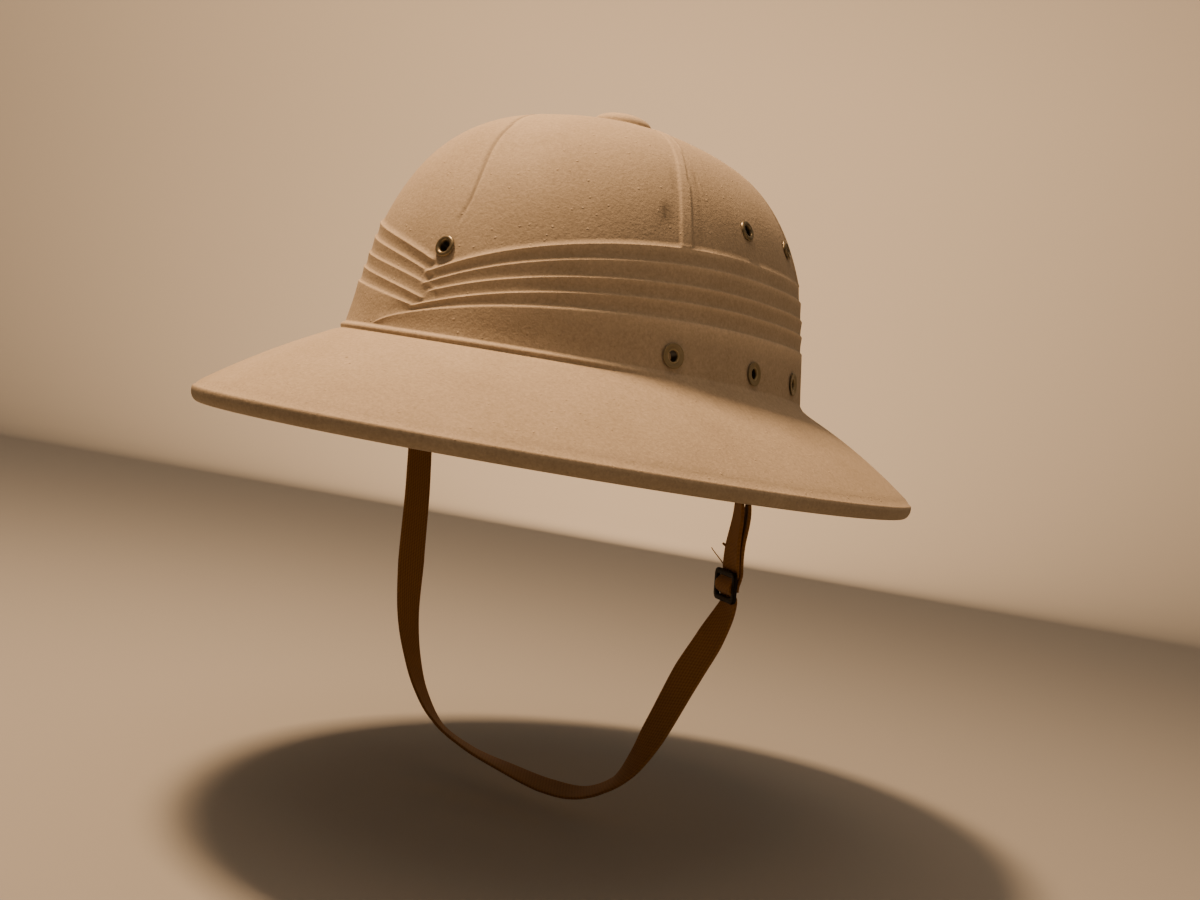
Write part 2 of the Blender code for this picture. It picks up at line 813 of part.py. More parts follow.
def centripetal(points, index, share):
    """Point on a centripetal Catmull-Rom curve between points index and index + 1."""
    start, end = points[index], points[index + 1]
    before = points[index - 1] if index > 0 else start * 2.0 - end
    after = points[index + 2] if index + 2 < len(points) else end * 2.0 - start
    knots = [0.0]
    for first, second in ((before, start), (start, end), (end, after)):
        knots.append(knots[-1] + max(math.sqrt((second - first).length), 1e-4))
    t = knots[1] + (knots[2] - knots[1]) * share
    a1 = before.lerp(start, (t - knots[0]) / (knots[1] - knots[0]))
    a2 = start.lerp(end, (t - knots[1]) / (knots[2] - knots[1]))
    a3 = end.lerp(after, (t - knots[2]) / (knots[3] - knots[2]))
    b1 = a1.lerp(a2, (t - knots[0]) / (knots[2] - knots[0]))
    b2 = a2.lerp(a3, (t - knots[1]) / (knots[3] - knots[1]))
    return b1.lerp(b2, share)


def smooth_line(stations):
    """Points and width directions read from a smooth curve through the stations."""
    points = [point for point, _ in stations]
    widths = [width for _, width in stations]
    line = []
    for index in range(len(points) - 1):
        pieces = max(1, round((points[index + 1] - points[index]).length / STRAP_STEP))
        for piece in range(pieces):
            share = piece / pieces
            line.append((centripetal(points, index, share),
                         widths[index].lerp(widths[index + 1], share)))
    line.append((points[-1], widths[-1]))
    return line


def ribbon_rows(line, width, thickness):
    """Rectangular sections across a line, each lying along its own width direction."""
    rows = []
    last = len(line) - 1
    for index, (point, width_way) in enumerate(line):
        ahead = line[min(index + 1, last)][0] - line[max(index - 1, 0)][0]
        tangent = ahead.normalized()
        across = (width_way - tangent * width_way.dot(tangent)).normalized()
        half_width = across * (width / 2.0)
        half_depth = tangent.cross(across) * (thickness / 2.0)
        rows.append([
            tuple(point - half_width - half_depth), tuple(point + half_width - half_depth),
            tuple(point + half_width + half_depth), tuple(point - half_width + half_depth),
        ])
    return rows


def build_strap(collection, material):
    """The chin strap as one flat webbing, from its sewn end to its end at the slider."""
    line = smooth_line(strap_stations())
    rows = ribbon_rows(line, STRAP_WIDTH, STRAP_THICKNESS)
    mesh = mesh_from_grid("chin_strap", rows, closed_rows=True, caps=True)
    smooth(mesh)
    add_object("chin_strap", mesh, collection, material)


def rounded_rectangle(width, length, corner, per_corner=3):
    """Corner-rounded rectangle as a loop of points."""
    points = []
    for quarter, (x_sign, y_sign) in enumerate(((1, 1), (-1, 1), (-1, -1), (1, -1))):
        for step in range(per_corner):
            turn = math.pi / 2.0 * (quarter + step / (per_corner - 1))
            x = x_sign * (width / 2.0 - corner) + corner * math.cos(turn)
            y = y_sign * (length / 2.0 - corner) + corner * math.sin(turn)
            points.append((x, y))
    return points


def build_slider(collection, material):
    """Slider frame with its middle bar, joined into one piece."""
    window_width = SLIDER_WIDTH - 2.0 * SLIDER_SIDE_BAR
    window_length = SLIDER_LENGTH - 2.0 * SLIDER_END_BAR
    frame = plate_mesh("strap_slider", (
        rounded_rectangle(SLIDER_WIDTH, SLIDER_LENGTH, SLIDER_CORNER),
        rounded_rectangle(window_width, window_length, 0.5, 2),
    ), SLIDER_THICKNESS)
    frame.materials.append(material)
    side, up, face = slider_axes()
    slider = add_object("strap_slider", frame, collection)
    slider.matrix_world = placement(SLIDER_CENTRE, side, up, face)

    shape = bmesh.new()
    bmesh.ops.create_cube(shape, size=1.0)
    size = (window_width + SLIDER_SIDE_BAR, SLIDER_MIDDLE_BAR, SLIDER_MIDDLE_THICKNESS)
    bmesh.ops.scale(shape, vec=Vector(size) * MM, verts=shape.verts)
    mesh = bpy.data.meshes.new("slider_middle_bar")
    shape.to_mesh(mesh)
    shape.free()
    return slider, mesh, (side, up, face)


def join_middle_bar(slider, bar_mesh, axes, cutters):
    """Weld the middle bar to the slider's frame."""
    side, up, face = axes
    sunk = (SLIDER_THICKNESS - SLIDER_MIDDLE_THICKNESS) / 2.0
    bar = add_object("slider_middle_bar", bar_mesh, cutters)
    bar.matrix_world = placement(Vector(SLIDER_CENTRE) - face * sunk, side, up, face)
    bar.hide_render = True
    bar.display_type = "WIRE"
    weld = slider.modifiers.new("middle_bar", "BOOLEAN")
    weld.operation = "UNION"
    weld.object = bar


# ==============================================================================

def main():
    clear_scene()
    helmet = new_collection("pith_helmet")
    hole_cutters = new_collection("hole_cutters")
    join_guides = new_collection("join_guides")

    khaki_fibre = make_material("khaki_pressed_fibre", (0.42, 0.29, 0.18), 0.85)
    dark_metal = make_material("dark_bronze_metal", (0.10, 0.08, 0.05), 0.35, 0.9)
    painted_metal = make_material("khaki_painted_metal", (0.22, 0.17, 0.09), 0.55)
    plain_steel = make_material("plain_steel", (0.35, 0.34, 0.32), 0.45, 0.9)
    webbing = make_material("olive_brown_webbing", (0.045, 0.025, 0.012), 0.9)
    black_metal = make_material("black_japanned_metal", (0.015, 0.011, 0.009), 0.4)

    build_eyelets(helmet, hole_cutters, dark_metal, painted_metal)
    build_button(helmet, hole_cutters, khaki_fibre)
    build_shell(helmet, hole_cutters, khaki_fibre)
    build_hangers(helmet, plain_steel)
    build_strap(helmet, webbing)
    slider, bar_mesh, axes = build_slider(helmet, black_metal)
    join_middle_bar(slider, bar_mesh, axes, join_guides)


main()
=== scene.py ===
"""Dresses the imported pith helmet: a pressed-fibre sun helmet with a webbing chin strap.

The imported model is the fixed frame.  Lengths are millimetres in the code and turn to
metres where meshes are made.  The front of the hat faces -Y, the wearer's left is +X, and
angles are measured round the hat from its front towards the wearer's left.
"""

import logging
import math
from dataclasses import dataclass
from enum import Enum

import bmesh
import bpy
import numpy as np
from mathutils import Matrix, Vector


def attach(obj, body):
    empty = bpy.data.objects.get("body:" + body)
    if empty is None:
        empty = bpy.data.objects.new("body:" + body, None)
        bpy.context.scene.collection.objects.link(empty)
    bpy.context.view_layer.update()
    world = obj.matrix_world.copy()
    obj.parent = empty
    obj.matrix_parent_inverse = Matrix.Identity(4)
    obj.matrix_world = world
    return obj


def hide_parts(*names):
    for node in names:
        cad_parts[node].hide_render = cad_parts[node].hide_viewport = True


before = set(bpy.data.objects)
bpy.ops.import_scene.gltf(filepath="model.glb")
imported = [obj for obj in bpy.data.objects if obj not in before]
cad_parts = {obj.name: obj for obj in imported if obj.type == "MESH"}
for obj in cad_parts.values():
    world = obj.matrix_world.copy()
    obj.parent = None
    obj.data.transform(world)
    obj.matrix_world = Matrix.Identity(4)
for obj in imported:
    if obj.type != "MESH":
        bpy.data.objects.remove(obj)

MM = 0.001
BODY = "root"
UP = Vector((0.0, 0.0, 1.0))

# The middle base eyelets hold the strap hangers behind the wall, so both share these.
BASE_EYELET_HEIGHT = 7.7
HANGER_TURN = 85.3
HANGER_GAP = 0.65             # air between the wall and a hanger
HANGER_THICKNESS = 1.2

log = logging.getLogger("pith_helmet")


# ==============================================================================
# Small helpers
# ==============================================================================

def linear(hex_colour: str) -> tuple[float, float, float, float]:
    """Turn an sRGB hex colour to a linear one.

    Args:
        hex_colour: six hex digits, such as "a08060".

    Returns:
        Linear red, green, blue and an alpha of 1.
    """
    channels = [int(hex_colour[i:i + 2], 16) / 255.0 for i in (0, 2, 4)]
    curved = [c / 12.92 if c <= 0.04045 else ((c + 0.055) / 1.055) ** 2.4 for c in channels]
    return (*curved, 1.0)


def add_node(tree: bpy.types.NodeTree, kind: str, settings: dict | None = None,
             inputs: dict | None = None) -> bpy.types.Node:
    """Add a node with its settings and links.

    Args:
        tree: node tree that takes the node.
        kind: Blender's name of the node type.
        settings: properties of the node by name.
        inputs: values or other nodes' output sockets, by input name or number.

    Returns:
        The new node.
    """
    node = tree.nodes.new(kind)
    for name, value in (settings or {}).items():
        setattr(node, name, value)
    for key, value in (inputs or {}).items():
        if isinstance(value, bpy.types.NodeSocket):
            tree.links.new(value, node.inputs[key])
        else:
            node.inputs[key].default_value = value
    return node


def smoothstep(value: np.ndarray | float, low: float, high: float) -> np.ndarray:
    """Ease from 0 at low to 1 at high.

    Args:
        value: number or array to ease.
        low: where the step starts.
        high: where it ends.

    Returns:
        The eased share, between 0 and 1.
    """
    share = np.clip((np.asarray(value, float) - low) / (high - low), 0.0, 1.0)
    return share * share * (3.0 - 2.0 * share)


def read_table(table: tuple, at: np.ndarray) -> np.ndarray:
    """Read a table of (place, value) rows at some places, straight between its rows."""
    places, values = zip(*table)
    return np.interp(at, places, values)


def patch(turn: np.ndarray, height: np.ndarray, middle: tuple[float, float],
          half: tuple[float, float]) -> np.ndarray:
    """Soft oval patch on the crown: 1 in its middle, fading over its half-sizes.

    Args:
        turn: angle round the hat, in degrees.
        height: height above the crown's foot.
        middle: angle and height of the patch's middle.
        half: its half-width in degrees and its half-height.

    Returns:
        Strength of the patch at each place.
    """
    return np.exp(-((turn - middle[0]) / half[0]) ** 2 - ((height - middle[1]) / half[1]) ** 2)


def mesh_from(name: str, points: np.ndarray, faces: list) -> bpy.types.Mesh:
    """Make a closed mesh with its normals outward.

    Args:
        name: name of the mesh.
        points: vertex positions in millimetres, one row each.
        faces: vertex numbers of each face.

    Returns:
        The mesh, in metres.
    """
    mesh = bpy.data.meshes.new(name)
    mesh.from_pydata((np.asarray(points, float) * MM).tolist(), [], faces)
    shape = bmesh.new()
    shape.from_mesh(mesh)
    bmesh.ops.recalc_face_normals(shape, faces=shape.faces)
    shape.to_mesh(mesh)
    shape.free()
    return mesh


def add_object(name: str, data: bpy.types.ID) -> bpy.types.Object:
    """Put a mesh, lamp or camera into the scene as an object.

    Args:
        name: name of the object.
        data: its mesh, lamp or camera.

    Returns:
        The object.
    """
    item = bpy.data.objects.new(name, data)
    bpy.context.scene.collection.objects.link(item)
    return item


def strip_faces(rings: int, count: int, first: int = 0, closed: bool = False) -> list[tuple]:
    """Faces between successive rings of points.

    Args:
        rings: number of rings.
        count: points on each ring.
        first: number of the first ring's first point.
        closed: whether the last ring joins the first.

    Returns:
        Vertex numbers of each face.
    """
    faces = []
    for ring in range(rings if closed else rings - 1):
        low, high = first + ring * count, first + (ring + 1) % rings * count
        for i in range(count):
            j = (i + 1) % count
            faces.append((low + i, low + j, high + j, high + i))
    return faces


def mark_wear_and_painted_light(mesh: bpy.types.Mesh, marks: list | np.ndarray) -> None:
    """Store each vertex's mark of wear and painted light: above 0 it is lighter, and below 0
    darker.
    """
    mesh.attributes.new("wear_and_painted_light", "FLOAT", "POINT").data.foreach_set("value", marks)


def combined(mesh: bpy.types.Mesh, other: bpy.types.Mesh, operation: str) -> bpy.types.Mesh:
    """Join a closed mesh to another, or cut the other out of it.

    Args:
        mesh: the mesh that is kept.
        other: the mesh that is joined or cut out.
        operation: "UNION" or "DIFFERENCE".

    Returns:
        A new mesh.
    """
    kept, tool = add_object("kept", mesh), add_object("tool", other)
    step = kept.modifiers.new("step", "BOOLEAN")
    step.operation, step.solver, step.object = operation, "MANIFOLD", tool
    graph = bpy.context.evaluated_depsgraph_get()
    result = bpy.data.meshes.new_from_object(kept.evaluated_get(graph))
    for item in (kept, tool):
        bpy.data.objects.remove(item, do_unlink=True)
    return result


def add_piece(name: str, mesh: bpy.types.Mesh, material: bpy.types.Material,
              replaced: tuple[str, ...] = (), sharp: float = 40.0) -> bpy.types.Object:
    """Add a piece of the hat and tie it to the frame.

    Args:
        name: name of the piece.
        mesh: its mesh, in the frame's own place.
        material: its finish.
        replaced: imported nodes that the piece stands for.
        sharp: angle in degrees above which an edge stays crisp.

    Returns:
        The new object.
    """
    piece = add_object(name, mesh)
    mesh.materials.clear()
    mesh.materials.append(material)
    mesh.shade_smooth()
    mesh.set_sharp_from_angle(angle=math.radians(sharp))
    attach(piece, BODY)
    if replaced:
        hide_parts(*replaced)
    return piece


def turned_mesh(name: str, profile: list, steps: int, place: Matrix,
                closed: bool = True) -> bpy.types.Mesh:
    """Turn a profile about its own axis.

    Args:
        name: name of the mesh.
        profile: (radius, height) pairs in millimetres.
        steps: number of steps round the axis.
        place: matrix that puts the turned shape in the frame.
        closed: whether the profile closes on itself; if not, its ends lie on the axis.

    Returns:
        The mesh in the frame.
    """
    points, faces = [], []
    for step in range(steps):
        turn = 2.0 * math.pi * step / steps
        points += [(r * math.cos(turn), r * math.sin(turn), z) for r, z in profile]
    count = len(profile)
    spans = count if closed else count - 1
    for step in range(steps):
        here, there = step * count, (step + 1) % steps * count
        for i in range(spans):
            j = (i + 1) % count
            faces.append((here + i, here + j, there + j, there + i))
    mesh = mesh_from(name, np.array(points), faces)
    shape = bmesh.new()
    shape.from_mesh(mesh)
    bmesh.ops.remove_doubles(shape, verts=shape.verts, dist=1e-7)
    bmesh.ops.dissolve_degenerate(shape, edges=shape.edges, dist=1e-8)
    bmesh.ops.recalc_face_normals(shape, faces=shape.faces)
    shape.to_mesh(mesh)
    shape.free()
    mesh.transform(place)
    return mesh


def rounded_profile(corners: list, radii: list, steps: int = 4) -> list:
    """Round the corners of a closed profile.

    Args:
        corners: (x, y) corners in order.
        radii: rounding radius at each corner; 0 leaves it sharp.
        steps: number of points along each rounding, less one.

    Returns:
        The points of the rounded outline.
    """
    outline = []
    count = len(corners)
    for index, (corner, radius) in enumerate(zip(corners, radii)):
        here = Vector(corner)
        before = Vector(corners[index - 1]) - here
        after = Vector(corners[(index + 1) % count]) - here
        reach = min(radius, before.length * 0.49, after.length * 0.49)
        if reach <= 0.0:
            outline.append(tuple(here))
            continue
        start = here + before.normalized() * reach
        end = here + after.normalized() * reach
        for step in range(steps + 1):
            t = step / steps
            outline.append(tuple(start.lerp(here, t).lerp(here.lerp(end, t), t)))
    return outline


def placement(origin: Vector, side: Vector, up: Vector, out: Vector) -> Matrix:
    """Matrix with the local x, y and z axes along side, up and out, at origin in millimetres.

    Args:
        origin: place of the local origin, in millimetres.
        side: direction of the local x axis.
        up: direction of the local y axis.
        out: direction of the local z axis.

    Returns:
        The matrix, in metres.
    """
    matrix = Matrix((side, up, out)).transposed().to_4x4()
    matrix.translation = Vector(origin) * MM
    return matrix


# ==============================================================================
# Finishes
# ==============================================================================

class Slot(Enum):
    """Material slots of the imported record."""

    FIBRE = "khaki_pressed_fibre"
    BRONZE = "dark_bronze_metal"
    PAINT = "khaki_painted_metal"
    STEEL = "plain_steel"
    WEBBING = "olive_brown_webbing"
    JAPAN = "black_japanned_metal"


@dataclass(frozen=True)
class Finish:
    """What every finish has: a name, and a way to start a material."""

    name: str

    def start(self, constants: dict) -> tuple[bpy.types.Material, bpy.types.NodeTree,
                                              bpy.types.Node]:
        """Start a material.

        Args:
            constants: the shader's plain values, by the name of the socket.

        Returns:
            The material, its node tree and its shader.
        """
        material = bpy.data.materials.new(self.name)
        material.use_nodes = True
        tree = material.node_tree
        tree.nodes.clear()
        shader = add_node(tree, "ShaderNodeBsdfPrincipled", inputs=constants)
        add_node(tree, "ShaderNodeOutputMaterial", inputs={"Surface": shader.outputs["BSDF"]})
        return material, tree, shader

    @staticmethod
    def with_painted_shade(tree: bpy.types.NodeTree, colour: bpy.types.NodeSocket,
               shader: bpy.types.Node) -> None:
        """Feed a colour to a shader, with painted shade where the piece is marked as unlit.

        Args:
            tree: the material's node tree.
            colour: the clean colour.
            shader: the shader.
        """
        mark = add_node(tree, "ShaderNodeAttribute", {"attribute_name": "wear_and_painted_light"})
        shade = add_node(tree, "ShaderNodeMapRange", inputs={
            "Value": mark.outputs["Fac"], "From Min": -1.0, "From Max": 0.0,
            "To Min": 0.05, "To Max": 1.0})
        final = add_node(tree, "ShaderNodeVectorMath", {"operation": "SCALE"}, {
            0: colour, "Scale": shade.outputs["Result"]})
        tree.links.new(final.outputs["Vector"], shader.inputs["Base Color"])


@dataclass(frozen=True)
class PressedFibre(Finish):
    """Wood-pulp fibre pressed hot in a mould, then spray-painted matt khaki.

    The paint is dead matt, and the felted fibres under it leave a fine leathery grain.
    The noses of the folds are a little lighter and the hollows a little darker: partly
    handling wear, partly painted highlight on the ledges and painted shade in the hollows.
    """

    base: str = "b4a48d"
    light: str = "b9a992"
    dark: str = "af9f88"
    grain_mm: float = 1.5        # felted fibre bundles are about 1 mm; coarser so that they show
    pore_mm: float = 0.8
    pimple_mm: float = 3.4
    # Small dark spots on the brim in front: x, y, z and radius in millimetres.
    spots: tuple = ((-4.7, -131.7, -13.1, 0.75), (1.0, -135.7, -15.0, 0.6))
    mottle_mm: float = 26.0
    # Strength and depth in millimetres of the pores, the felted grain and the pimples.
    bumps: tuple = ((0.6, 0.14), (0.6, 0.26), (0.7, 0.24))

    def make(self) -> bpy.types.Material:
        """Build the material.

        Returns:
            The material of the shell and the button.
        """
        material, tree, shader = self.start({"Roughness": 0.88, "Specular IOR Level": 0.28})
        place = add_node(tree, "ShaderNodeTexCoord").outputs["Object"]
        mottle = add_node(tree, "ShaderNodeTexNoise", inputs={
            "Vector": place, "Scale": 1.0 / (self.mottle_mm * MM), "Detail": 4.0,
            "Roughness": 0.6})
        cloud = add_node(tree, "ShaderNodeValToRGB", inputs={"Fac": mottle.outputs["Fac"]})
        cloud.color_ramp.elements[0].position = 0.30
        cloud.color_ramp.elements[0].color = linear(self.dark)
        cloud.color_ramp.elements[1].position = 0.72
        cloud.color_ramp.elements[1].color = linear(self.light)
        middle = cloud.color_ramp.elements.new(0.5)
        middle.color = linear(self.base)
        grain = add_node(tree, "ShaderNodeTexNoise", inputs={
            "Vector": place, "Scale": 1.0 / (self.grain_mm * MM), "Detail": 3.0,
            "Roughness": 0.55})
        pore = add_node(tree, "ShaderNodeTexNoise", inputs={
            "Vector": place, "Scale": 1.0 / (self.pore_mm * MM), "Detail": 1.0})
        speck = add_node(tree, "ShaderNodeMapRange", inputs={
            "Value": grain.outputs["Fac"], "From Min": 0.25, "From Max": 0.75,
            "To Min": 0.88, "To Max": 1.10})
        fleck = add_node(tree, "ShaderNodeMapRange", inputs={
            "Value": pore.outputs["Fac"], "From Min": 0.3, "From Max": 0.7,
            "To Min": 0.93, "To Max": 1.06})
        flecked = add_node(tree, "ShaderNodeMath", {"operation": "MULTIPLY"}, {
            0: speck.outputs["Result"], 1: fleck.outputs["Result"]})
        toned = add_node(tree, "ShaderNodeVectorMath", {"operation": "SCALE"}, {
            0: cloud.outputs["Color"], "Scale": flecked.outputs["Value"]})
        # This mark carries real wear and also painted highlight and painted shade, and scales the
        # colour.
        worn = add_node(tree, "ShaderNodeAttribute", {"attribute_name": "wear_and_painted_light"})
        shade = add_node(tree, "ShaderNodeMapRange", inputs={
            "Value": worn.outputs["Fac"], "From Min": -1.0, "From Max": 1.0,
            "To Min": 0.62, "To Max": 1.38})
        tone, level = toned.outputs["Vector"], shade.outputs["Result"]
        for x, y, z, radius in self.spots:
            reach = add_node(tree, "ShaderNodeVectorMath", {"operation": "DISTANCE"}, {
                0: place, 1: (x * MM, y * MM, z * MM)})
            spot = add_node(tree, "ShaderNodeMapRange", inputs={
                "Value": reach.outputs["Value"], "From Min": 0.3 * radius * MM,
                "From Max": radius * MM, "To Min": 0.4, "To Max": 1.0})
            level = add_node(tree, "ShaderNodeMath", {"operation": "MULTIPLY"}, {
                0: level, 1: spot.outputs["Result"]}).outputs["Value"]
        final = add_node(tree, "ShaderNodeVectorMath", {"operation": "SCALE"}, {
            0: tone, "Scale": level})
        tree.links.new(final.outputs["Vector"], shader.inputs["Base Color"])
        # Hard bits in the pulp stand up as small scattered pimples.
        bits = add_node(tree, "ShaderNodeTexVoronoi", inputs={
            "Vector": place, "Scale": 1.0 / (self.pimple_mm * MM)})
        dome = add_node(tree, "ShaderNodeMapRange", {"interpolation_type": "SMOOTHSTEP"}, {
            "Value": bits.outputs["Distance"], "From Min": 0.04, "From Max": 0.19,
            "To Min": 1.0, "To Max": 0.0})
        pick = add_node(tree, "ShaderNodeSeparateXYZ", inputs={"Vector": bits.outputs["Color"]})
        some = add_node(tree, "ShaderNodeMath", {"operation": "GREATER_THAN"}, {
            0: pick.outputs["X"], 1: 0.55})
        pimples = add_node(tree, "ShaderNodeMath", {"operation": "MULTIPLY"}, {
            0: dome.outputs["Result"], 1: some.outputs["Value"]})
        heights = (pore.outputs["Fac"], grain.outputs["Fac"], pimples.outputs["Value"])
        below = {}
        for (strength, depth), height in zip(self.bumps, heights):
            bump = add_node(tree, "ShaderNodeBump", inputs={
                "Strength": strength, "Distance": depth * MM, "Height": height, **below})
            below = {"Normal": bump.outputs["Normal"]}
        tree.links.new(bump.outputs["Normal"], shader.inputs["Normal"])
        return material


@dataclass(frozen=True)
class BronzedBrass(Finish):
    """Brass eyelet, rolled and chemically bronzed.

    Olive brown with a soft gloss, so that a lamp leaves a bright point on the rolled
    ring, with thinner toning on its crown and painted shade in its bore.
    """

    tone: str = "5b523f"
    bare: str = "96896c"

    def make(self) -> bpy.types.Material:
        """Build the material.

        Returns:
            The material of the front and upper eyelets.
        """
        material, tree, shader = self.start({"Metallic": 0.55})
        place = add_node(tree, "ShaderNodeTexCoord").outputs["Object"]
        cloud = add_node(tree, "ShaderNodeTexNoise", inputs={
            "Vector": place, "Scale": 1.0 / (1.2 * MM), "Detail": 2.0})
        colour = add_node(tree, "ShaderNodeMix", {"data_type": "RGBA"}, {
            0: cloud.outputs["Fac"], 6: linear(self.tone), 7: linear(self.bare)})
        gloss = add_node(tree, "ShaderNodeMapRange", inputs={
            "Value": cloud.outputs["Fac"], "To Min": 0.24, "To Max": 0.42})
        self.with_painted_shade(tree, colour.outputs[2], shader)
        tree.links.new(gloss.outputs["Result"], shader.inputs["Roughness"])
        return material


@dataclass(frozen=True)
class PaintedBrass(Finish):
    """Brass washer, stamped and spray-painted khaki green before it was set.

    Satin paint that has worn through to dull metal round the bore, with painted shade inside it.
    """

    paint: str = "766a4b"
    worn: str = "b3a37d"

    def make(self) -> bpy.types.Material:
        """Build the material.

        Returns:
            The material of the base eyelets.
        """
        material, tree, shader = self.start({"Roughness": 0.42})
        place = add_node(tree, "ShaderNodeTexCoord").outputs["Object"]
        cloud = add_node(tree, "ShaderNodeTexNoise", inputs={
            "Vector": place, "Scale": 1.0 / (1.6 * MM), "Detail": 3.0})
        edge = add_node(tree, "ShaderNodeAttribute", {"attribute_name": "wear_and_painted_light"})
        amount = add_node(tree, "ShaderNodeMath", {"operation": "MULTIPLY"}, {
            0: cloud.outputs["Fac"], 1: edge.outputs["Fac"]})
        colour = add_node(tree, "ShaderNodeMix", {"data_type": "RGBA"}, {
            0: amount.outputs["Value"], 6: linear(self.paint), 7: linear(self.worn)})
        self.with_painted_shade(tree, colour.outputs[2], shader)
        ripple = add_node(tree, "ShaderNodeBump", inputs={
            "Strength": 0.2, "Distance": 0.05 * MM, "Height": cloud.outputs["Fac"]})
        tree.links.new(ripple.outputs["Normal"], shader.inputs["Normal"])
        return material


@dataclass(frozen=True)
class PlainSteel(Finish):
    """Mild steel strip, blanked and left as rolled.

    Dull grey with fine rolling lines along the strip.
    """

    light: str = "8b8780"
    dark: str = "625e57"

    def make(self) -> bpy.types.Material:
        """Build the material.

        Returns:
            The material of the strap hangers.
        """
        material, tree, shader = self.start({"Metallic": 1.0})
        place = add_node(tree, "ShaderNodeTexCoord").outputs["Object"]
        drawn = add_node(tree, "ShaderNodeMapping", inputs={
            "Vector": place, "Scale": (1.0, 1.0, 0.06)})
        lines = add_node(tree, "ShaderNodeTexNoise", inputs={
            "Vector": drawn.outputs["Vector"], "Scale": 1.0 / (0.6 * MM), "Detail": 3.0})
        colour = add_node(tree, "ShaderNodeMix", {"data_type": "RGBA"}, {
            0: lines.outputs["Fac"], 6: linear(self.dark), 7: linear(self.light)})
        tree.links.new(colour.outputs[2], shader.inputs["Base Color"])
        gloss = add_node(tree, "ShaderNodeMapRange", inputs={
            "Value": lines.outputs["Fac"], "To Min": 0.34, "To Max": 0.56})
        tree.links.new(gloss.outputs["Result"], shader.inputs["Roughness"])
        return material


@dataclass(frozen=True)
class CottonWebbing(Finish):
    """Half-inch cotton webbing, woven narrow with a firm selvedge and dyed olive brown.

    Matt, with warp cords along it and weft picks across; painted lighter where the
    cords stand up and darker between them, as painted highlight and shade, and dusty with fibre
    ends.
    """

    dye: str = "735229"
    high: str = "976e3b"
    cord_mm: float = 1.15        # real cords are about 0.6 mm; coarser so that they show
    pick_mm: float = 1.5         # real picks are about 0.8 mm; coarser so that they show

    def make(self) -> bpy.types.Material:
        """Build the material.

        Returns:
            The material of the strap and its loose threads.
        """
        material, tree, shader = self.start({
            "Roughness": 0.92, "Specular IOR Level": 0.2, "Sheen Weight": 0.12,
            "Sheen Roughness": 0.5})
        weave = add_node(tree, "ShaderNodeUVMap", {"uv_map": "weave"}).outputs["UV"]
        split = add_node(tree, "ShaderNodeSeparateXYZ", inputs={"Vector": weave})
        tau = 2.0 * math.pi
        across = add_node(tree, "ShaderNodeMath", {"operation": "MULTIPLY"}, {
            0: split.outputs["X"], 1: tau / self.cord_mm})
        along = add_node(tree, "ShaderNodeMath", {"operation": "MULTIPLY"}, {
            0: split.outputs["Y"], 1: tau / self.pick_mm})
        # Every other cord passes over where its neighbour passes under.
        half = add_node(tree, "ShaderNodeMath", {"operation": "MULTIPLY"}, {
            0: across.outputs["Value"], 1: 0.5})
        phase = add_node(tree, "ShaderNodeMath", {"operation": "ADD"}, {
            0: along.outputs["Value"], 1: half.outputs["Value"]})
        cords = add_node(tree, "ShaderNodeMath", {"operation": "COSINE"}, {
            0: across.outputs["Value"]})
        picks = add_node(tree, "ShaderNodeMath", {"operation": "COSINE"}, {
            0: phase.outputs["Value"]})
        knit = add_node(tree, "ShaderNodeMath", {"operation": "MULTIPLY_ADD"}, {
            0: picks.outputs["Value"], 1: 0.6, 2: cords.outputs["Value"]})
        place = add_node(tree, "ShaderNodeTexCoord").outputs["Object"]
        fuzz = add_node(tree, "ShaderNodeTexNoise", inputs={
            "Vector": place, "Scale": 1.0 / (0.9 * MM), "Detail": 3.0})
        rough = add_node(tree, "ShaderNodeMath", {"operation": "MULTIPLY_ADD"}, {
            0: fuzz.outputs["Fac"], 1: 1.2, 2: knit.outputs["Value"]})
        level = add_node(tree, "ShaderNodeMapRange", inputs={
            "Value": rough.outputs["Value"], "From Min": -1.0, "From Max": 2.2})
        # Painted highlight and shade: the raised cords lighter and the dips between them darker,
        # with the fibre fuzz.
        colour = add_node(tree, "ShaderNodeMix", {"data_type": "RGBA"}, {
            0: level.outputs["Result"], 6: linear(self.dye), 7: linear(self.high)})
        tree.links.new(colour.outputs[2], shader.inputs["Base Color"])
        bump = add_node(tree, "ShaderNodeBump", inputs={
            "Strength": 0.5, "Distance": 0.14 * MM, "Height": level.outputs["Result"]})
        tree.links.new(bump.outputs["Normal"], shader.inputs["Normal"])
        return material


@dataclass(frozen=True)
class JapannedSteel(Finish):
    """Steel slider, stamped and stoved with black japan.

    Black with a soft gloss, rubbed brown-grey where the webbing has slid over it.
    """

    black: str = "0b0705"
    fold_wear_and_painted_light: str = "2a1c12"

    def make(self) -> bpy.types.Material:
        """Build the material.

        Returns:
            The material of the slider.
        """
        material, tree, shader = self.start({"Specular IOR Level": 0.15})
        place = add_node(tree, "ShaderNodeTexCoord").outputs["Object"]
        cloud = add_node(tree, "ShaderNodeTexNoise", inputs={
            "Vector": place, "Scale": 1.0 / (1.8 * MM), "Detail": 4.0, "Roughness": 0.65})
        patch = add_node(tree, "ShaderNodeMapRange", inputs={
            "Value": cloud.outputs["Fac"], "From Min": 0.52, "From Max": 0.68})
        colour = add_node(tree, "ShaderNodeMix", {"data_type": "RGBA"}, {
            0: patch.outputs["Result"], 6: linear(self.black), 7: linear(self.fold_wear_and_painted_light)})
        gloss = add_node(tree, "ShaderNodeMapRange", inputs={
            "Value": patch.outputs["Result"], "To Min": 0.5, "To Max": 0.7})
        tree.links.new(colour.outputs[2], shader.inputs["Base Color"])
        tree.links.new(gloss.outputs["Result"], shader.inputs["Roughness"])
        return material


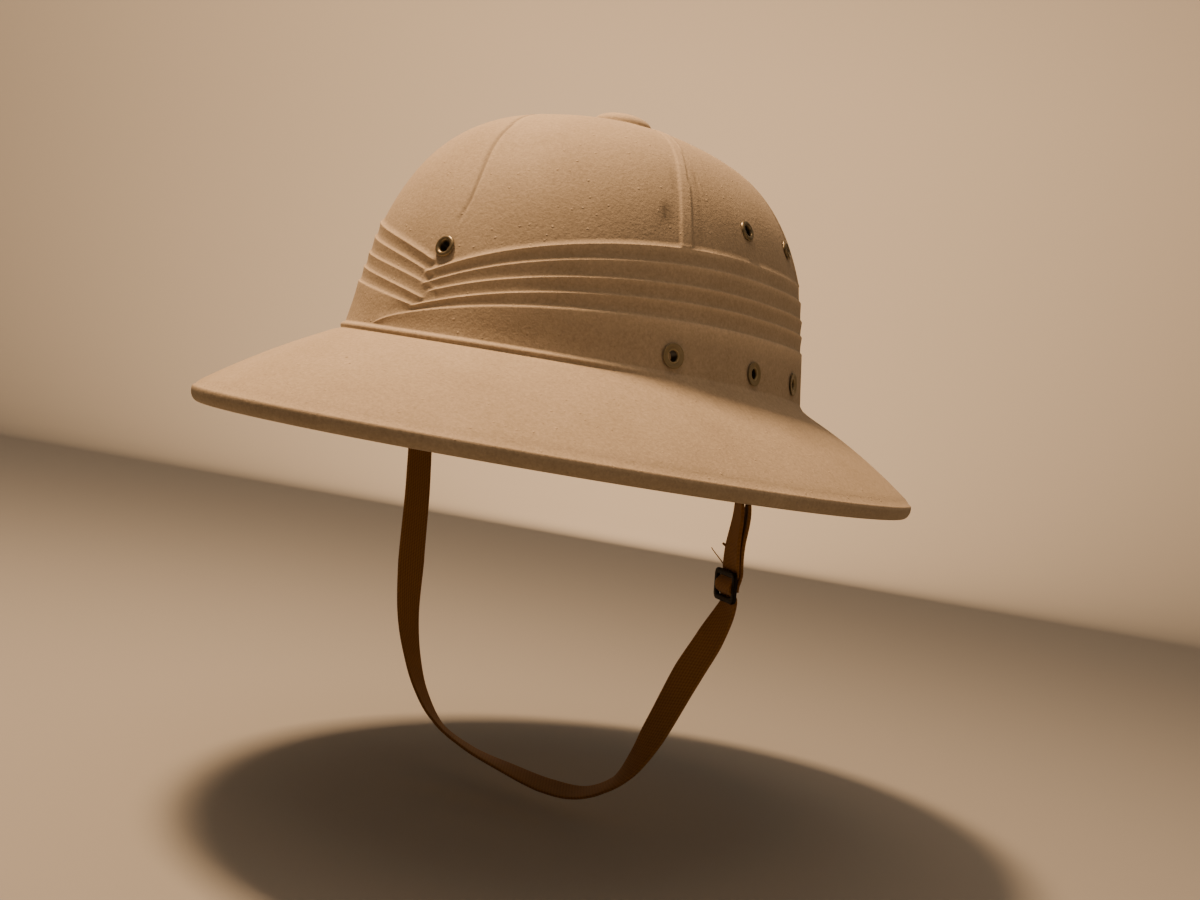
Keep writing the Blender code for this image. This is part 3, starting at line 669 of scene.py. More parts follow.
@dataclass(frozen=True)
class StudioPaper(Finish):
    """Seamless paper roll: smooth, matt and pale, it gives the hat a quiet ground."""

    tone: str = "a3a19c"

    def make(self) -> bpy.types.Material:
        """Build the material.

        Returns:
            The material of the floor sweep.
        """
        material, tree, shader = self.start({
            "Base Color": linear(self.tone), "Roughness": 0.95, "Specular IOR Level": 0.2})
        place = add_node(tree, "ShaderNodeTexCoord").outputs["Object"]
        tooth = add_node(tree, "ShaderNodeTexNoise", inputs={
            "Vector": place, "Scale": 1.0 / (3.0 * MM), "Detail": 2.0})
        bump = add_node(tree, "ShaderNodeBump", inputs={
            "Strength": 0.1, "Distance": 0.05 * MM, "Height": tooth.outputs["Fac"]})
        tree.links.new(bump.outputs["Normal"], shader.inputs["Normal"])
        return material


# ==============================================================================
# The hat's form
# ==============================================================================

@dataclass(frozen=True)
class HatForm:
    """The moulded form, as formulas in the angle round the hat and the height.

    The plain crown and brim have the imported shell's numbers.  The folds and ribs are finer
    than its own, and the crossing, the seam and the side lines are only here.  Angles are
    radians in the methods and degrees in the fields.
    """

    half_length: float = 100.5
    half_width: float = 83.0
    height: float = 98.5
    corner_low: float = 2.26
    corner_top: float = 2.36
    lean: float = 0.066
    rise_power: float = 2.55
    round_power: float = 3.05
    flare: float = 2.4
    flare_height: float = 26.0
    flare_power: float = 1.3
    wall: float = 2.1

    brim_half_length: float = 171.5
    brim_half_width: float = 134.6
    set_back: float = 6.4
    drops: tuple = (31.8, 32.7, 33.0)       # front, side, rear
    bulges: tuple = (2.5, 1.1, 5.5)
    brim_wall: float = 2.4
    crease_fore_aft: float = 1.3
    crease_side: float = 1.2
    crease_drop: float = 1.4

    # Folds: height at the front, height at the side, step out, ledge height.
    folds: tuple = (
        (25.3, 49.8, 0.95, 1.9),
        (20.4, 43.2, 0.70, 1.1),
        (16.4, 35.6, 0.70, 1.0),
        (12.0, 29.2, 0.70, 1.0),
        (9.0, 22.1, 0.70, 1.0),
    )
    rise_share: float = 0.6                  # share of a ledge that lies above its line
    sweep_power: float = 2.55
    rear_drop: float = 1.5
    # The folds of the wearer's right ride this much higher where they cross in front.
    lifts: tuple = (1.4, 1.3, 1.2, 0.5, -0.2)
    foot: float = 2.6                        # plain wall starts this far above the crease

    # Where the two sets of folds cross, from height to angle.
    crossing: tuple = (
        (8.0, -4.6), (10.1, -4.0), (12.7, -1.8), (15.9, -1.0), (18.7, -2.9),
        (23.7, -3.1), (28.0, -1.6), (36.0, -1.6),
    )
    # Middle of the front seam, from height to angle.
    seam: tuple = (
        (42.0, 0.6), (50.8, 1.8), (58.9, 1.2), (66.1, 0.1), (79.0, -3.1), (84.2, -4.5),
        (89.5, -8.2), (94.0, -12.0), (97.2, -19.0), (98.5, -27.0),
    )
    rib_line: tuple = ((48.0, 56.3), (60.0, 56.3), (70.0, 56.5), (83.0, 57.6), (94.0, 58.8))
    rib_half: float = 3.1
    rib_shoulder: float = 1.1
    rib_height: float = 0.8
    # A thinner pressed line beside each front rib, from height to angle.
    side_line: tuple = (
        (64.0, 64.2), (72.0, 63.4), (77.8, 62.9), (83.7, 60.9), (88.2, 60.1), (94.0, 59.4),
    )
    # Knocks in the crown: angle, height, half-width in degrees, half-height, depth.
    knocks: tuple = (
        (50.6, 55.5, 2.4, 5.2, -0.6), (49.8, 57.7, 0.45, 0.7, -0.45),
        (25.5, 87.8, 1.8, 0.5, 0.12), (108.5, 67.5, 0.5, 1.2, 0.15),
        (35.0, 51.6, 0.7, 0.4, -0.15), (20.5, 54.6, 0.6, 0.5, 0.14),
        (13.0, 76.0, 4.0, 5.0, -0.35), (-96.0, 66.0, 3.0, 6.0, -0.5),
        (59.9, 72.3, 1.2, 0.4, 0.30), (60.6, 71.2, 1.1, 0.5, -0.25),
    )

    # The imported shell's plainer folds: step of each, ledge height, where the lowest fades.
    packed_steps: tuple = (0.8, 0.7, 0.7, 0.7, 0.7)
    packed_ledge: float = 1.2
    packed_foot: float = 3.4

    def taper(self, share: np.ndarray) -> np.ndarray:
        """Share of the foot's radius that the crown has at a share of its height.

        Args:
            share: share of the crown's height.

        Returns:
            The share of the radius.
        """
        share = np.clip(share, 0.0, 1.0)
        dome = np.maximum(1.0 - share ** self.rise_power, 0.0) ** (1.0 / self.round_power)
        return (1.0 - self.lean * share) * dome

    def oval(self, angle: np.ndarray, width: float, length: float,
             power: np.ndarray | float) -> np.ndarray:
        """Distance from the centre to a superellipse at an angle.

        Args:
            angle: angle from the front.
            width: half-width.
            length: half-length.
            power: exponent of the superellipse.

        Returns:
            The distance at each angle.
        """
        across = np.abs(np.sin(angle)) / width
        along = np.abs(np.cos(angle)) / length
        return (across ** power + along ** power) ** (-1.0 / power)

    def radius(self, angle: np.ndarray, height: np.ndarray, inset: float = 0.0) -> np.ndarray:
        """Radius of the plain crown.

        Args:
            angle: angle round the hat.
            height: height above the crown's foot.
            inset: how far inside the outer face.

        Returns:
            The radius at each angle and height.
        """
        share = np.maximum(height, 0.0) / (self.height - inset)
        power = self.corner_low + (self.corner_top - self.corner_low) * np.minimum(share, 1.0)
        plain = self.oval(angle, self.half_width - inset, self.half_length - inset, power)
        low = np.maximum(1.0 - np.maximum(height, 0.0) / self.flare_height, 0.0)
        return plain * self.taper(share) + self.flare * low ** self.flare_power

    def crease(self, angle: np.ndarray) -> np.ndarray:
        """Height of the crease between crown and brim."""
        ends = self.crease_fore_aft * np.cos(angle) - self.crease_side * np.cos(2.0 * angle)
        return ends - self.crease_drop

    def fold_line(self, fold: int, angle: np.ndarray) -> np.ndarray:
        """Height of one fold of the wearer's left, which runs on past the front centre.

        Args:
            fold: number of the fold, 0 at the top.
            angle: signed angle round the hat.

        Returns:
            The height of the fold's ledge.
        """
        front, side = self.folds[fold][:2]
        turn = np.degrees(angle)
        sweep = 1.0 - np.maximum(1.0 - turn / 90.0, 0.0) ** self.sweep_power
        past = self.rear_drop * (np.maximum(turn - 90.0, 0.0) / 90.0) ** 2
        return front + (side - front) * sweep - past

    def right_fold_line(self, fold: int, angle: np.ndarray) -> np.ndarray:
        """Height of one fold of the wearer's right, lifted near the front."""
        near = 1.0 - smoothstep(np.abs(np.degrees(angle)), 0.0, 30.0)
        return self.fold_line(fold, -angle) + self.lifts[fold] * near

    def tail_line(self, angle: np.ndarray) -> np.ndarray:
        """Height of the lowest fold where it dips under the others into the crease.

        Args:
            angle: signed angle round the hat.

        Returns:
            The height of its ledge.
        """
        foot = self.crease(angle) + self.foot
        turn = np.degrees(angle)
        low = self.fold_line(4, angle) - 1.5 * (np.maximum(-turn - 6.0, 0.0) / 10.0) ** 2
        plain = foot + 0.4 * (self.right_fold_line(4, angle) - foot)
        return plain + (np.maximum(low, foot + 0.3) - plain) * smoothstep(turn, -26.0, -17.5)

    def crossing_share(self, angle: np.ndarray, height: np.ndarray,
                       half: float) -> np.ndarray:
        """Share of the wearer's left folds at a point: 0 to its right, 1 to its left."""
        return smoothstep(np.degrees(angle) - read_table(self.crossing, height), -half, half)

    def band_lines(self, angle: np.ndarray) -> list[tuple[np.ndarray, np.ndarray]]:
        """Lines that the mesh rows follow, from the top down.

        The wearer's right has one fold more above the crossing, so each of its folds
        meets the next higher one of the left.

        Args:
            angle: signed angle of each column.

        Returns:
            Height and ledge height of six lines at each column.
        """
        spare = 4.3 - 1.6 * smoothstep(np.degrees(angle), 0.0, 30.0)
        left = [self.fold_line(0, angle) + spare] + [self.fold_line(k, angle) for k in range(5)]
        right = [self.right_fold_line(k, angle) for k in range(5)] + [self.tail_line(angle)]
        left_ledge = [1.1] + [fold[3] for fold in self.folds]
        right_ledge = [fold[3] for fold in self.folds] + [1.1]
        lines = []
        for k in range(6):
            share = self.crossing_share(angle, (left[k] + right[k]) / 2.0, 1.1)
            lines.append((right[k] + (left[k] - right[k]) * share,
                          right_ledge[k] + (left_ledge[k] - right_ledge[k]) * share))
        return lines

    def steps_out(self, height: np.ndarray, lines: list, foot: np.ndarray) -> np.ndarray:
        """Relief of a stack of folds: each steps out over its ledge and falls back below.

        Args:
            height: heights to look at.
            lines: height, step and ledge height of each fold, from the top down.
            foot: height where the lowest fold has faded.

        Returns:
            How far the wall stands out at each height.
        """
        relief = np.zeros_like(height)
        for k, (line, step, ledge) in enumerate(lines):
            top = line + ledge * self.rise_share
            nose = top - ledge
            below = foot
            if k + 1 < len(lines):
                below = lines[k + 1][0] + lines[k + 1][2] * self.rise_share
            below = np.minimum(below, nose - 0.3)
            climb = np.clip((top - height) / ledge, 0.0, 1.0)
            fall = np.clip((height - below) / (nose - below), 0.0, 1.0)
            ledge_part = step * (0.35 * climb + 0.65 * climb * climb)
            relief = np.where((height <= top) & (height > nose), ledge_part, relief)
            relief = np.where((height <= nose) & (height > below), step * fall ** 1.6, relief)
        return relief

    def fold_relief(self, angle: np.ndarray, height: np.ndarray) -> np.ndarray:
        """Relief of the folds all round, with the crossing in front.

        Args:
            angle: signed angle round the hat.
            height: height above the crown's foot.

        Returns:
            How far the folds stand out of the wall.
        """
        foot = self.crease(angle) + self.foot
        turn = np.degrees(angle)
        # The top fold is pressed less deep at both sides, the others on the wearer's right.
        ease = 1.0 - 0.35 * smoothstep(np.abs(turn), 45.0, 80.0)
        right_ease = 1.0 - 0.25 * smoothstep(-turn, 25.0, 60.0)
        depths = [self.folds[0][2] * ease] + [fold[2] * right_ease for fold in self.folds[1:]]
        left = [(self.fold_line(k, angle), depths[k], fold[3])
                for k, fold in enumerate(self.folds)]
        right = [(self.right_fold_line(k, angle), depths[k], fold[3])
                 for k, fold in enumerate(self.folds)]
        tail = (self.tail_line(angle), 0.55 * smoothstep(turn, -15.4, -11.6), 1.1)
        share = self.crossing_share(angle, height, 1.2)
        relief_left = self.steps_out(height, left, foot)
        relief_right = self.steps_out(height, right + [tail], np.minimum(foot, tail[0] - 1.0))
        relief = relief_right + (relief_left - relief_right) * share
        # The third fold of the left starts faintly, between two that meet.
        relief = relief * (1.0 - 0.45 * patch(turn, height, (-0.6, 15.2), (2.4, 1.7)))
        # Faint ends of two folds run on under the other set.
        past = turn - read_table(self.crossing, height)
        fade = smoothstep(past, -0.4, 0.4) * (1.0 - smoothstep(past, 1.8, 4.2))
        for line, _, _ in right[1:3]:
            near = np.clip(1.0 - np.abs(height - line) / 0.9, 0.0, 1.0)
            relief = relief + 0.32 * near * fade
        return relief

    def rib_relief(self, angle: np.ndarray, height: np.ndarray,
                   radius: np.ndarray) -> np.ndarray:
        """Relief of the four moulded ribs that part the crown into panels.

        Args:
            angle: signed angle round the hat.
            height: height above the crown's foot.
            radius: radius of the plain crown there.

        Returns:
            How far the ribs and side lines stand out of the wall.
        """
        lean = read_table(self.rib_line, height)
        relief = np.zeros_like(height)
        turn = np.degrees(angle)
        above = height - np.where(turn > -2.0, self.fold_line(0, angle),
                                  self.right_fold_line(0, angle))
        for rib in (lean, -lean, 182.5 - lean, lean - 182.5):
            aside = (turn - rib) * math.pi / 180.0 * radius
            # The rib of the wearer's left front has a notch in its rear edge.
            notch = 1.2 * smoothstep(height, 72.4, 73.2) * (aside > 0.0) * (rib > 50.0)
            notch = notch * (rib < 70.0) * (1.0 - smoothstep(height, 80.0, 92.0))
            rise = np.clip((self.rib_half - notch - np.abs(aside)) / self.rib_shoulder, 0.0, 1.0)
            relief = relief + self.rib_height * smoothstep(rise, 0.0, 1.0)
        inside = smoothstep(height, 65.0, 74.0)
        for sign in (1.0, -1.0):
            line = sign * read_table(self.side_line, height)
            aside = sign * (turn - line) * math.pi / 180.0 * radius
            ridge = 0.30 * np.exp(-(aside / 0.6) ** 2) - 0.22 * np.exp(-((aside + 1.2) / 0.7) ** 2)
            relief = relief + ridge * inside
        return relief * smoothstep(above, -0.8, 0.2) * smoothstep(radius, 16.0, 34.0)

    def seam_relief(self, angle: np.ndarray, height: np.ndarray,
                    radius: np.ndarray) -> np.ndarray:
        """Relief of the fine seam up the front of the crown, and of one up its back.

        Args:
            angle: signed angle round the hat.
            height: height above the crown's foot.
            radius: radius of the plain crown there.

        Returns:
            How far the seams stand out of the wall; below 0 in a groove.
        """
        middle = read_table(self.seam, height)
        turn = np.degrees(angle)
        dots = 0.5 + 0.5 * np.sin(height * 2.1)
        high = smoothstep(height, 54.0, 70.0)
        strength = high + (1.0 - high) * (0.35 + 0.35 * dots)
        strength = strength * smoothstep(height, 40.0, 45.0)
        relief = np.zeros_like(height)
        behind = np.where(turn > 0.0, 180.0, -180.0)
        for line in (middle, behind):
            aside = (turn - line) * math.pi / 180.0 * radius
            groove = -0.65 * np.exp(-(aside / 0.75) ** 2)
            lip = 0.30 * np.exp(-((aside - 1.7) / 0.9) ** 2)
            relief = relief + (groove + lip) * strength
        return relief * smoothstep(radius, 13.0, 18.0)

    def dents(self, angle: np.ndarray, height: np.ndarray) -> np.ndarray:
        """Relief of the knocks that the crown has taken, and of its uneven pressing.

        Args:
            angle: signed angle round the hat.
            height: height above the crown's foot.

        Returns:
            How far the wall stands out; below 0 in a dent.
        """
        turn = np.degrees(angle)
        relief = np.zeros_like(height)
        for at, level, wide, tall, depth in self.knocks:
            relief = relief + depth * patch(turn, height, (at, level), (wide, tall))
        wave = np.sin(3.0 * angle + 0.07 * height) + np.sin(5.0 * angle - 0.11 * height + 1.3)
        wave = wave + 0.7 * np.sin(11.0 * angle + 0.19 * height + 0.4)
        return relief + 0.07 * wave * smoothstep(height, 4.0, 20.0)

    def relief(self, angle: np.ndarray, height: np.ndarray) -> np.ndarray:
        """All the relief on the crown's outer face.

        Args:
            angle: signed angle round the hat.
            height: height above the crown's foot.

        Returns:
            How far the wall stands out of the plain crown.
        """
        radius = self.radius(angle, height)
        folds = self.fold_relief(angle, height)
        rest = self.rib_relief(angle, height, radius) + self.seam_relief(angle, height, radius)
        return folds + rest + self.dents(angle, height)

    def crown(self, angle: np.ndarray, height: np.ndarray) -> np.ndarray:
        """Points of the crown's outer face."""
        return self.polar(angle, self.radius(angle, height) + self.relief(angle, height), height)

    @staticmethod
    def polar(angle: np.ndarray, radius: np.ndarray, height: np.ndarray) -> np.ndarray:
        """Point at an angle, radius and height."""
        height = np.broadcast_to(height, np.shape(angle))
        return np.stack([radius * np.sin(angle), -radius * np.cos(angle), height], axis=-1)

    @staticmethod
    def by_side(angle: np.ndarray, values: tuple) -> np.ndarray:
        """Blend a front, side and rear value round the hat.

        Args:
            angle: angle round the hat.
            values: the front, side and rear value.

        Returns:
            The value at each angle.
        """
        along = np.cos(angle) ** 2
        end = np.where(np.cos(angle) > 0.0, values[0], values[2])
        return values[1] * (1.0 - along) + end * along

    def brim_edge(self, angle: np.ndarray) -> np.ndarray:
        """The brim's top edge, at an angle about the brim's own centre.

        Args:
            angle: angle about the brim's own centre.

        Returns:
            The points of the edge.
        """
        radius = self.oval(angle, self.brim_half_width, self.brim_half_length, 2.0)
        edge = self.polar(angle, radius, -self.by_side(angle, self.drops))
        edge[..., 1] += self.set_back
        return edge

    def brim_foot(self, angle: np.ndarray) -> np.ndarray:
        """Where the brim's own slope meets the crown."""
        return self.polar(angle, self.radius(angle, np.zeros_like(angle)), self.crease(angle))

    def brim(self, angle: np.ndarray, share: np.ndarray) -> np.ndarray:
        """Points of the brim's top face, from 0 at the crown to 1 at the edge.

        Args:
            angle: angle round the hat.
            share: place between the crown and the edge.

        Returns:
            The points.
        """
        share = np.broadcast_to(share, np.shape(angle))
        foot, edge = self.brim_foot(angle), self.brim_edge(angle)
        point = foot + (edge - foot) * share[..., None]
        bulge = self.by_side(angle, self.bulges)
        wave = np.sin(4.0 * angle + 0.9) + np.sin(7.0 * angle + 2.1) + np.sin(2.0 * angle)
        point[..., 2] += (bulge * 4.0 + 0.35 * wave) * share * (1.0 - share)
        return point

    def wall_frame(self, degrees: float, height: float,
                   relief: bool = True) -> tuple[Vector, Vector, Vector, Vector]:
        """Point of the crown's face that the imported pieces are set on.

        Args:
            degrees: angle round the hat.
            height: height above the crown's foot.
            relief: whether the folds' relief counts.

        Returns:
            The point and the side, up and outward directions there.
        """
        def surface(turn: float, level: float) -> Vector:
            """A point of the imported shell's face.

            Args:
                turn: angle round the hat, in radians.
                level: height above the crown's foot.

            Returns:
                The point in millimetres.
            """
            at, up_to = np.array([turn]), np.array([level])
            out = self.packed_relief(abs(turn), level) if relief else 0.0
            return Vector(self.polar(at, self.radius(at, up_to) + out, up_to)[0])

        angle = math.radians(degrees)
        side = (surface(angle + 0.03, height) - surface(angle - 0.03, height)).normalized()
        climb = surface(angle, height + 2.0) - surface(angle, height - 2.0)
        out = side.cross(climb).normalized()
        return surface(angle, height), side, out.cross(side), out

    def packed_relief(self, turn: float, height: float) -> float:
        """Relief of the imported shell's plainer folds, which the eyelets are set on.

        Args:
            turn: angle from the front, without a sign.
            height: height above the crown's foot.

        Returns:
            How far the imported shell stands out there.
        """
        at, half = np.array([turn]), self.packed_ledge / 2.0
        lines = [float(self.fold_line(k, at)[0]) for k in range(5)]
        for k, step in enumerate(self.packed_steps):
            top, nose = lines[k] + half, lines[k] - half
            below = lines[k + 1] + half if k < 4 else self.packed_foot
            if height >= top:
                return 0.0
            if height >= nose:
                return step * (top - height) / self.packed_ledge
            if height >= below:
                return step * (height - below) / (nose - below)
        return 0.0


# ==============================================================================
# Shell
# ==============================================================================

@dataclass
class HelmetShell:
    """Crown and brim as one hollow moulding, on one grid of columns and rows."""

    form: HatForm
    fibre: bpy.types.Material
    dome_rows: int = 32
    brim_rows: int = 16
    inner_rows: int = 14
    ledge_steps: tuple = (0.0, 0.3, 0.6, 0.85, 1.0)
    fall_steps: tuple = (0.05, 0.16, 0.36, 0.66)

    # The crown's foot: height above the crease, then how far out of the wall it stands, as
    # the bead in front and as the plain fillet at the sides.
    bead: tuple = (
        (2.25, 0.05, 0.00), (1.90, 0.40, 0.10), (1.60, 0.90, 0.27), (1.25, 1.26, 0.52),
        (0.85, 1.45, 0.88), (0.25, 1.45, 1.36), (-0.35, 1.22, 1.85),
    )
    # The brim's first rows: how far out of the wall and lift off the brim's own slope,
    # below the bead and then in the fillet.
    groove: tuple = (
        (1.50, -0.16, 2.40, 0.45), (2.10, -0.12, 3.00, 0.33), (3.00, 0.02, 3.80, 0.20),
        (4.40, 0.12, 5.00, 0.08), (6.50, 0.05, 6.80, 0.02),
    )
    # The rolled edge: how far in from the outermost line, how far below the top edge.
    lip: tuple = (
        (0.95, -0.02), (0.55, 0.08), (0.22, 0.38), (0.04, 0.95), (0.00, 1.70), (0.06, 2.60),
        (0.28, 3.50), (0.65, 4.35), (1.15, 5.05), (1.75, 5.58), (2.35, 5.80), (2.90, 5.60),
        (3.20, 4.90), (3.32, 4.00),
    )
    # Darker patches on the crown beside the front rib: angle, height, half-width in degrees,
    # half-height, depth.
    rib_dark_patches: tuple = (
        (51.2, 54.0, 1.8, 6.5, 0.60), (49.6, 60.5, 1.2, 3.0, 0.40), (52.2, 72.0, 0.9, 6.0, 0.50),
        (61.2, 60.0, 1.3, 11.0, 0.45), (61.8, 77.0, 1.1, 4.0, 0.50),
    )

    def columns(self) -> np.ndarray:
        """Angles of the columns, closer where the moulding is fine.

        Returns:
            Signed angles in radians, in rising order.
        """
        turns, turn = [], -179.7
        while turn <= 179.95:
            turns.append(turn)
            gap = 1.15
            if abs(turn + 2.0) < 26.0:
                gap = 0.6
            if abs(turn + 2.0) < 7.0:
                gap = 0.27
            for rib in (57.0, -57.0, 125.5, -125.5):
                if abs(turn - rib) < 4.2:
                    gap = 0.36
            if 45.0 < turn < 53.0 or 61.0 < turn < 65.0:
                gap = 0.45
            if abs(abs(turn) - 180.0) < 2.2:
                gap = 0.3
            turn += gap
        return np.radians(np.array(turns))

    def grid(self, angle: np.ndarray) -> tuple[list[np.ndarray], int, int]:
        """Rows of points, from the crown's top over the brim to the inside of the top.

        Args:
            angle: angles of the columns.

        Returns:
            The rows, and the first and last row of the band of folds.
        """
        form = self.form
        lines = form.band_lines(angle)
        start = lines[0][0] + lines[0][1] / 2.0 + 0.8
        rows = []
        for step in np.linspace(0.985, 0.03, self.dome_rows):
            height = start + (form.height - start) * math.sin(step * math.pi / 2.0)
            rows.append(form.crown(angle, height))
        rows.append(form.crown(angle, start))
        first = len(rows) - 1
        foot = form.crease(angle) + form.foot
        for k, (line, ledge) in enumerate(lines):
            top = line + ledge * form.rise_share
            nose = top - ledge
            below = lines[k + 1][0] + lines[k + 1][1] * form.rise_share if k < 5 else foot
            heights = [top - ledge * step for step in self.ledge_steps]
            heights += [nose + (below - nose) * step for step in self.fall_steps]
            rows += [form.crown(angle, np.maximum(height, foot)) for height in heights]
        rows.append(form.crown(angle, foot))
        last = len(rows) - 1
        rows += self.foot_rows(angle)
        for share in np.linspace(0.17, 1.0, self.brim_rows)[:-1]:
            rows.append(form.brim(angle, share))
        edge, base = form.brim_edge(angle), form.brim_foot(angle)
        inward = base - edge
        inward[:, 2] = 0.0
        inward /= np.linalg.norm(inward, axis=1)[:, None]
        for inboard, below in self.lip:
            row = edge + inward * inboard
            row[:, 2] -= below
            rows.append(row)
        rows += self.inside_rows(angle)
        return rows, first, last

    def foot_rows(self, angle: np.ndarray) -> list[np.ndarray]:
        """Rows of the bead at the crown's foot and of the groove below it.

        Args:
            angle: angles of the columns.

        Returns:
            The rows, from the wall to the brim.
        """
        form = self.form
        rows = []
        soft = self.softness(angle)
        for above, roll, fillet in self.bead:
            height = form.crease(angle) + above
            outward = roll + (fillet - roll) * soft
            rows.append(form.polar(angle, form.radius(angle, height) + outward, height))
        reach = np.linalg.norm((form.brim_edge(angle) - form.brim_foot(angle))[:, :2], axis=1)
        for near, dip, far, lift in self.groove:
            row = form.brim(angle, (near + (far - near) * soft) / reach)
            row[:, 2] += dip + (lift - dip) * soft
            rows.append(row)
        return rows

    @staticmethod
    def softness(angle: np.ndarray) -> np.ndarray:
        """Share of the plain fillet at the crown's foot: 0 in front, 1 from the sides on."""
        return smoothstep(np.abs(np.degrees(angle)), 36.0, 62.0)

    def inside_rows(self, angle: np.ndarray) -> list[np.ndarray]:
        """Rows of the brim's lower face and of the plain inside of the crown.

        Args:
            angle: angles of the columns.

        Returns:
            The rows, from the brim's edge to the inside of the crown's top.
        """
        form = self.form
        run = form.brim_edge(angle) - form.brim_foot(angle)
        steepness = np.linalg.norm(run, axis=1) / np.linalg.norm(run[:, :2], axis=1)
        rows = []
        for share in (0.95, 0.86, 0.74, 0.6, 0.46, 0.32, 0.18, 0.07):
            row = form.brim(angle, share)
            row[:, 2] -= form.brim_wall * steepness
            rows.append(row)
        inner_foot = form.radius(angle, np.zeros_like(angle), form.wall)
        crease = form.crease(angle)
        for outward, below in ((0.9, form.brim_wall), (0.35, form.brim_wall - 0.35),
                               (0.05, form.brim_wall - 1.0)):
            rows.append(form.polar(angle, inner_foot + outward, crease - below))
        top = form.height - form.wall
        for step in np.linspace(0.0, 0.97, self.inner_rows):
            height = np.full_like(angle, top * math.sin(step * math.pi / 2.0))
            radius = form.radius(angle, height, form.wall)
            rows.append(form.polar(angle, radius, np.maximum(height, crease * (1.0 - step))))
        return rows

    def faces(self, rows: list[np.ndarray], first: int, last: int) -> list[tuple]:
        """Faces between the rows, with the band of folds zipped together at the back.

        Args:
            rows: rows of points.
            first: first row of the band of folds.
            last: last row of the band.

        Returns:
            Vertex numbers of each face.
        """
        count = len(rows[0])
        faces = []
        for r in range(len(rows) - 1):
            for c in range(count):
                if c == count - 1 and first <= r < last:
                    continue
                d = (c + 1) % count
                low, high = (r + 1) * count, r * count
                faces.append((high + c, low + c, low + d, high + d))
        # The rows of the two sides follow different folds, so they meet unevenly here.
        i = j = first
        end = count - 1
        while i < last or j < last:
            if j == last or (i < last and rows[i + 1][end][2] >= rows[j + 1][0][2]):
                faces.append((i * count + end, (i + 1) * count + end, j * count))
                i += 1
            else:
                faces.append((i * count + end, (j + 1) * count, j * count))
                j += 1
        top, bottom = len(rows) * count, len(rows) * count + 1
        low = (len(rows) - 1) * count
        for c in range(count):
            d = (c + 1) % count
            faces.append((top, c, d))
            faces.append((bottom, low + d, low + c))
        return faces

    @staticmethod
    def bored(shell: bpy.types.Mesh, places: list[tuple]) -> bpy.types.Mesh:
        """Cut the bores for the eyelets and the button's stem.

        Args:
            shell: the shell to cut.
            places: centre, direction and diameter of each bore.

        Returns:
            The shell with its bores.
        """
        cutter = bmesh.new()
        for centre, out, diameter in places:
            turn = UP.rotation_difference(out).to_matrix().to_4x4()
            bmesh.ops.create_cone(
                cutter, cap_ends=True, segments=28, radius1=diameter / 2.0 * MM,
                radius2=diameter / 2.0 * MM, depth=16.0 * MM,
                matrix=Matrix.Translation(centre * MM) @ turn)
        mesh = bpy.data.meshes.new("bore_cutter")
        cutter.to_mesh(mesh)
        cutter.free()
        return combined(shell, mesh, "DIFFERENCE")

    def wear_and_painted_light(self, mesh: bpy.types.Mesh) -> None:
        """Mark the shell's wear and its painted light and shade.

        The ledges of the folds, most at the sides, are painted lighter than handling alone
        would leave them, as a painted highlight, and the rim darker, partly as painted shade.

        Args:
            mesh: the shell's mesh.
        """
        co = np.zeros(len(mesh.vertices) * 3)
        mesh.vertices.foreach_get("co", co)
        x, y, z = (co.reshape(-1, 3) / MM).T
        angle = np.arctan2(x, -y)
        flat = np.hypot(x, y)
        outer = flat > self.form.radius(angle, z) - 1.0
        band = outer & (z > 3.0)
        relief = self.form.fold_relief(angle, z)
        side = smoothstep(np.abs(np.degrees(angle)), 30.0, 70.0)
        # Painted highlight on the fold ledges, strongest at the sides, over a little real wear;
        # painted shade in the hollows between them.
        fold_wear_and_painted_light = (0.4 + 0.5 * side) * smoothstep(relief, 0.38, 0.66)
        fold_wear_and_painted_light = fold_wear_and_painted_light - 0.12 * (1.0 - smoothstep(relief, 0.1, 0.4))
        worn = np.where(band, fold_wear_and_painted_light * smoothstep(z, 3.0, 6.0), 0.0)
        # The seams' grooves are darker, and the raised lip beside each is painted lighter as a
        # painted highlight.
        seam = self.form.seam_relief(angle, z, self.form.radius(angle, z))
        worn = np.where(outer & (z > 40.0), worn + np.clip(seam * 3.2, -1.0, 0.2), worn)
        # The ribs and side lines are made lighter where they stand out, and patches beside the
        # front rib darker.
        rib = np.clip(self.form.rib_relief(angle, z, self.form.radius(angle, z)), 0.0, 0.8)
        worn = np.where(outer & (z > 44.0), worn + 0.3 * rib, worn)
        for turn, height, half_turn, half_height, depth in self.rib_dark_patches:
            mark = patch(np.degrees(angle), z, (turn, height), (half_turn, half_height))
            worn = np.where(outer, worn - depth * mark, worn)
        # The bead in front gets a painted highlight on its top and painted shade just below it.
        above = z - self.form.crease(angle)
        near = outer & (flat < self.form.radius(angle, z) + 2.4) & (np.abs(above) < 2.4)
        front = 1.0 - self.softness(angle)
        worn = np.where(near & (above > 0.7), 0.3 * front, worn)
        worn = np.where(near & (above < 0.5), -0.12 * front, worn)
        # The rim of the brim is darker: partly handling soil, partly painted shade on its face.
        edge = self.form.brim_edge(np.arctan2(x / self.form.brim_half_width,
                                              -(y - self.form.set_back)
                                              / self.form.brim_half_length))
        rim = smoothstep(edge[:, 2] - z, 0.5, 1.7) * (flat > np.hypot(edge[:, 0], edge[:, 1]) - 4.0)
        worn = worn - 0.62 * rim
        mark_wear_and_painted_light(mesh, worn)

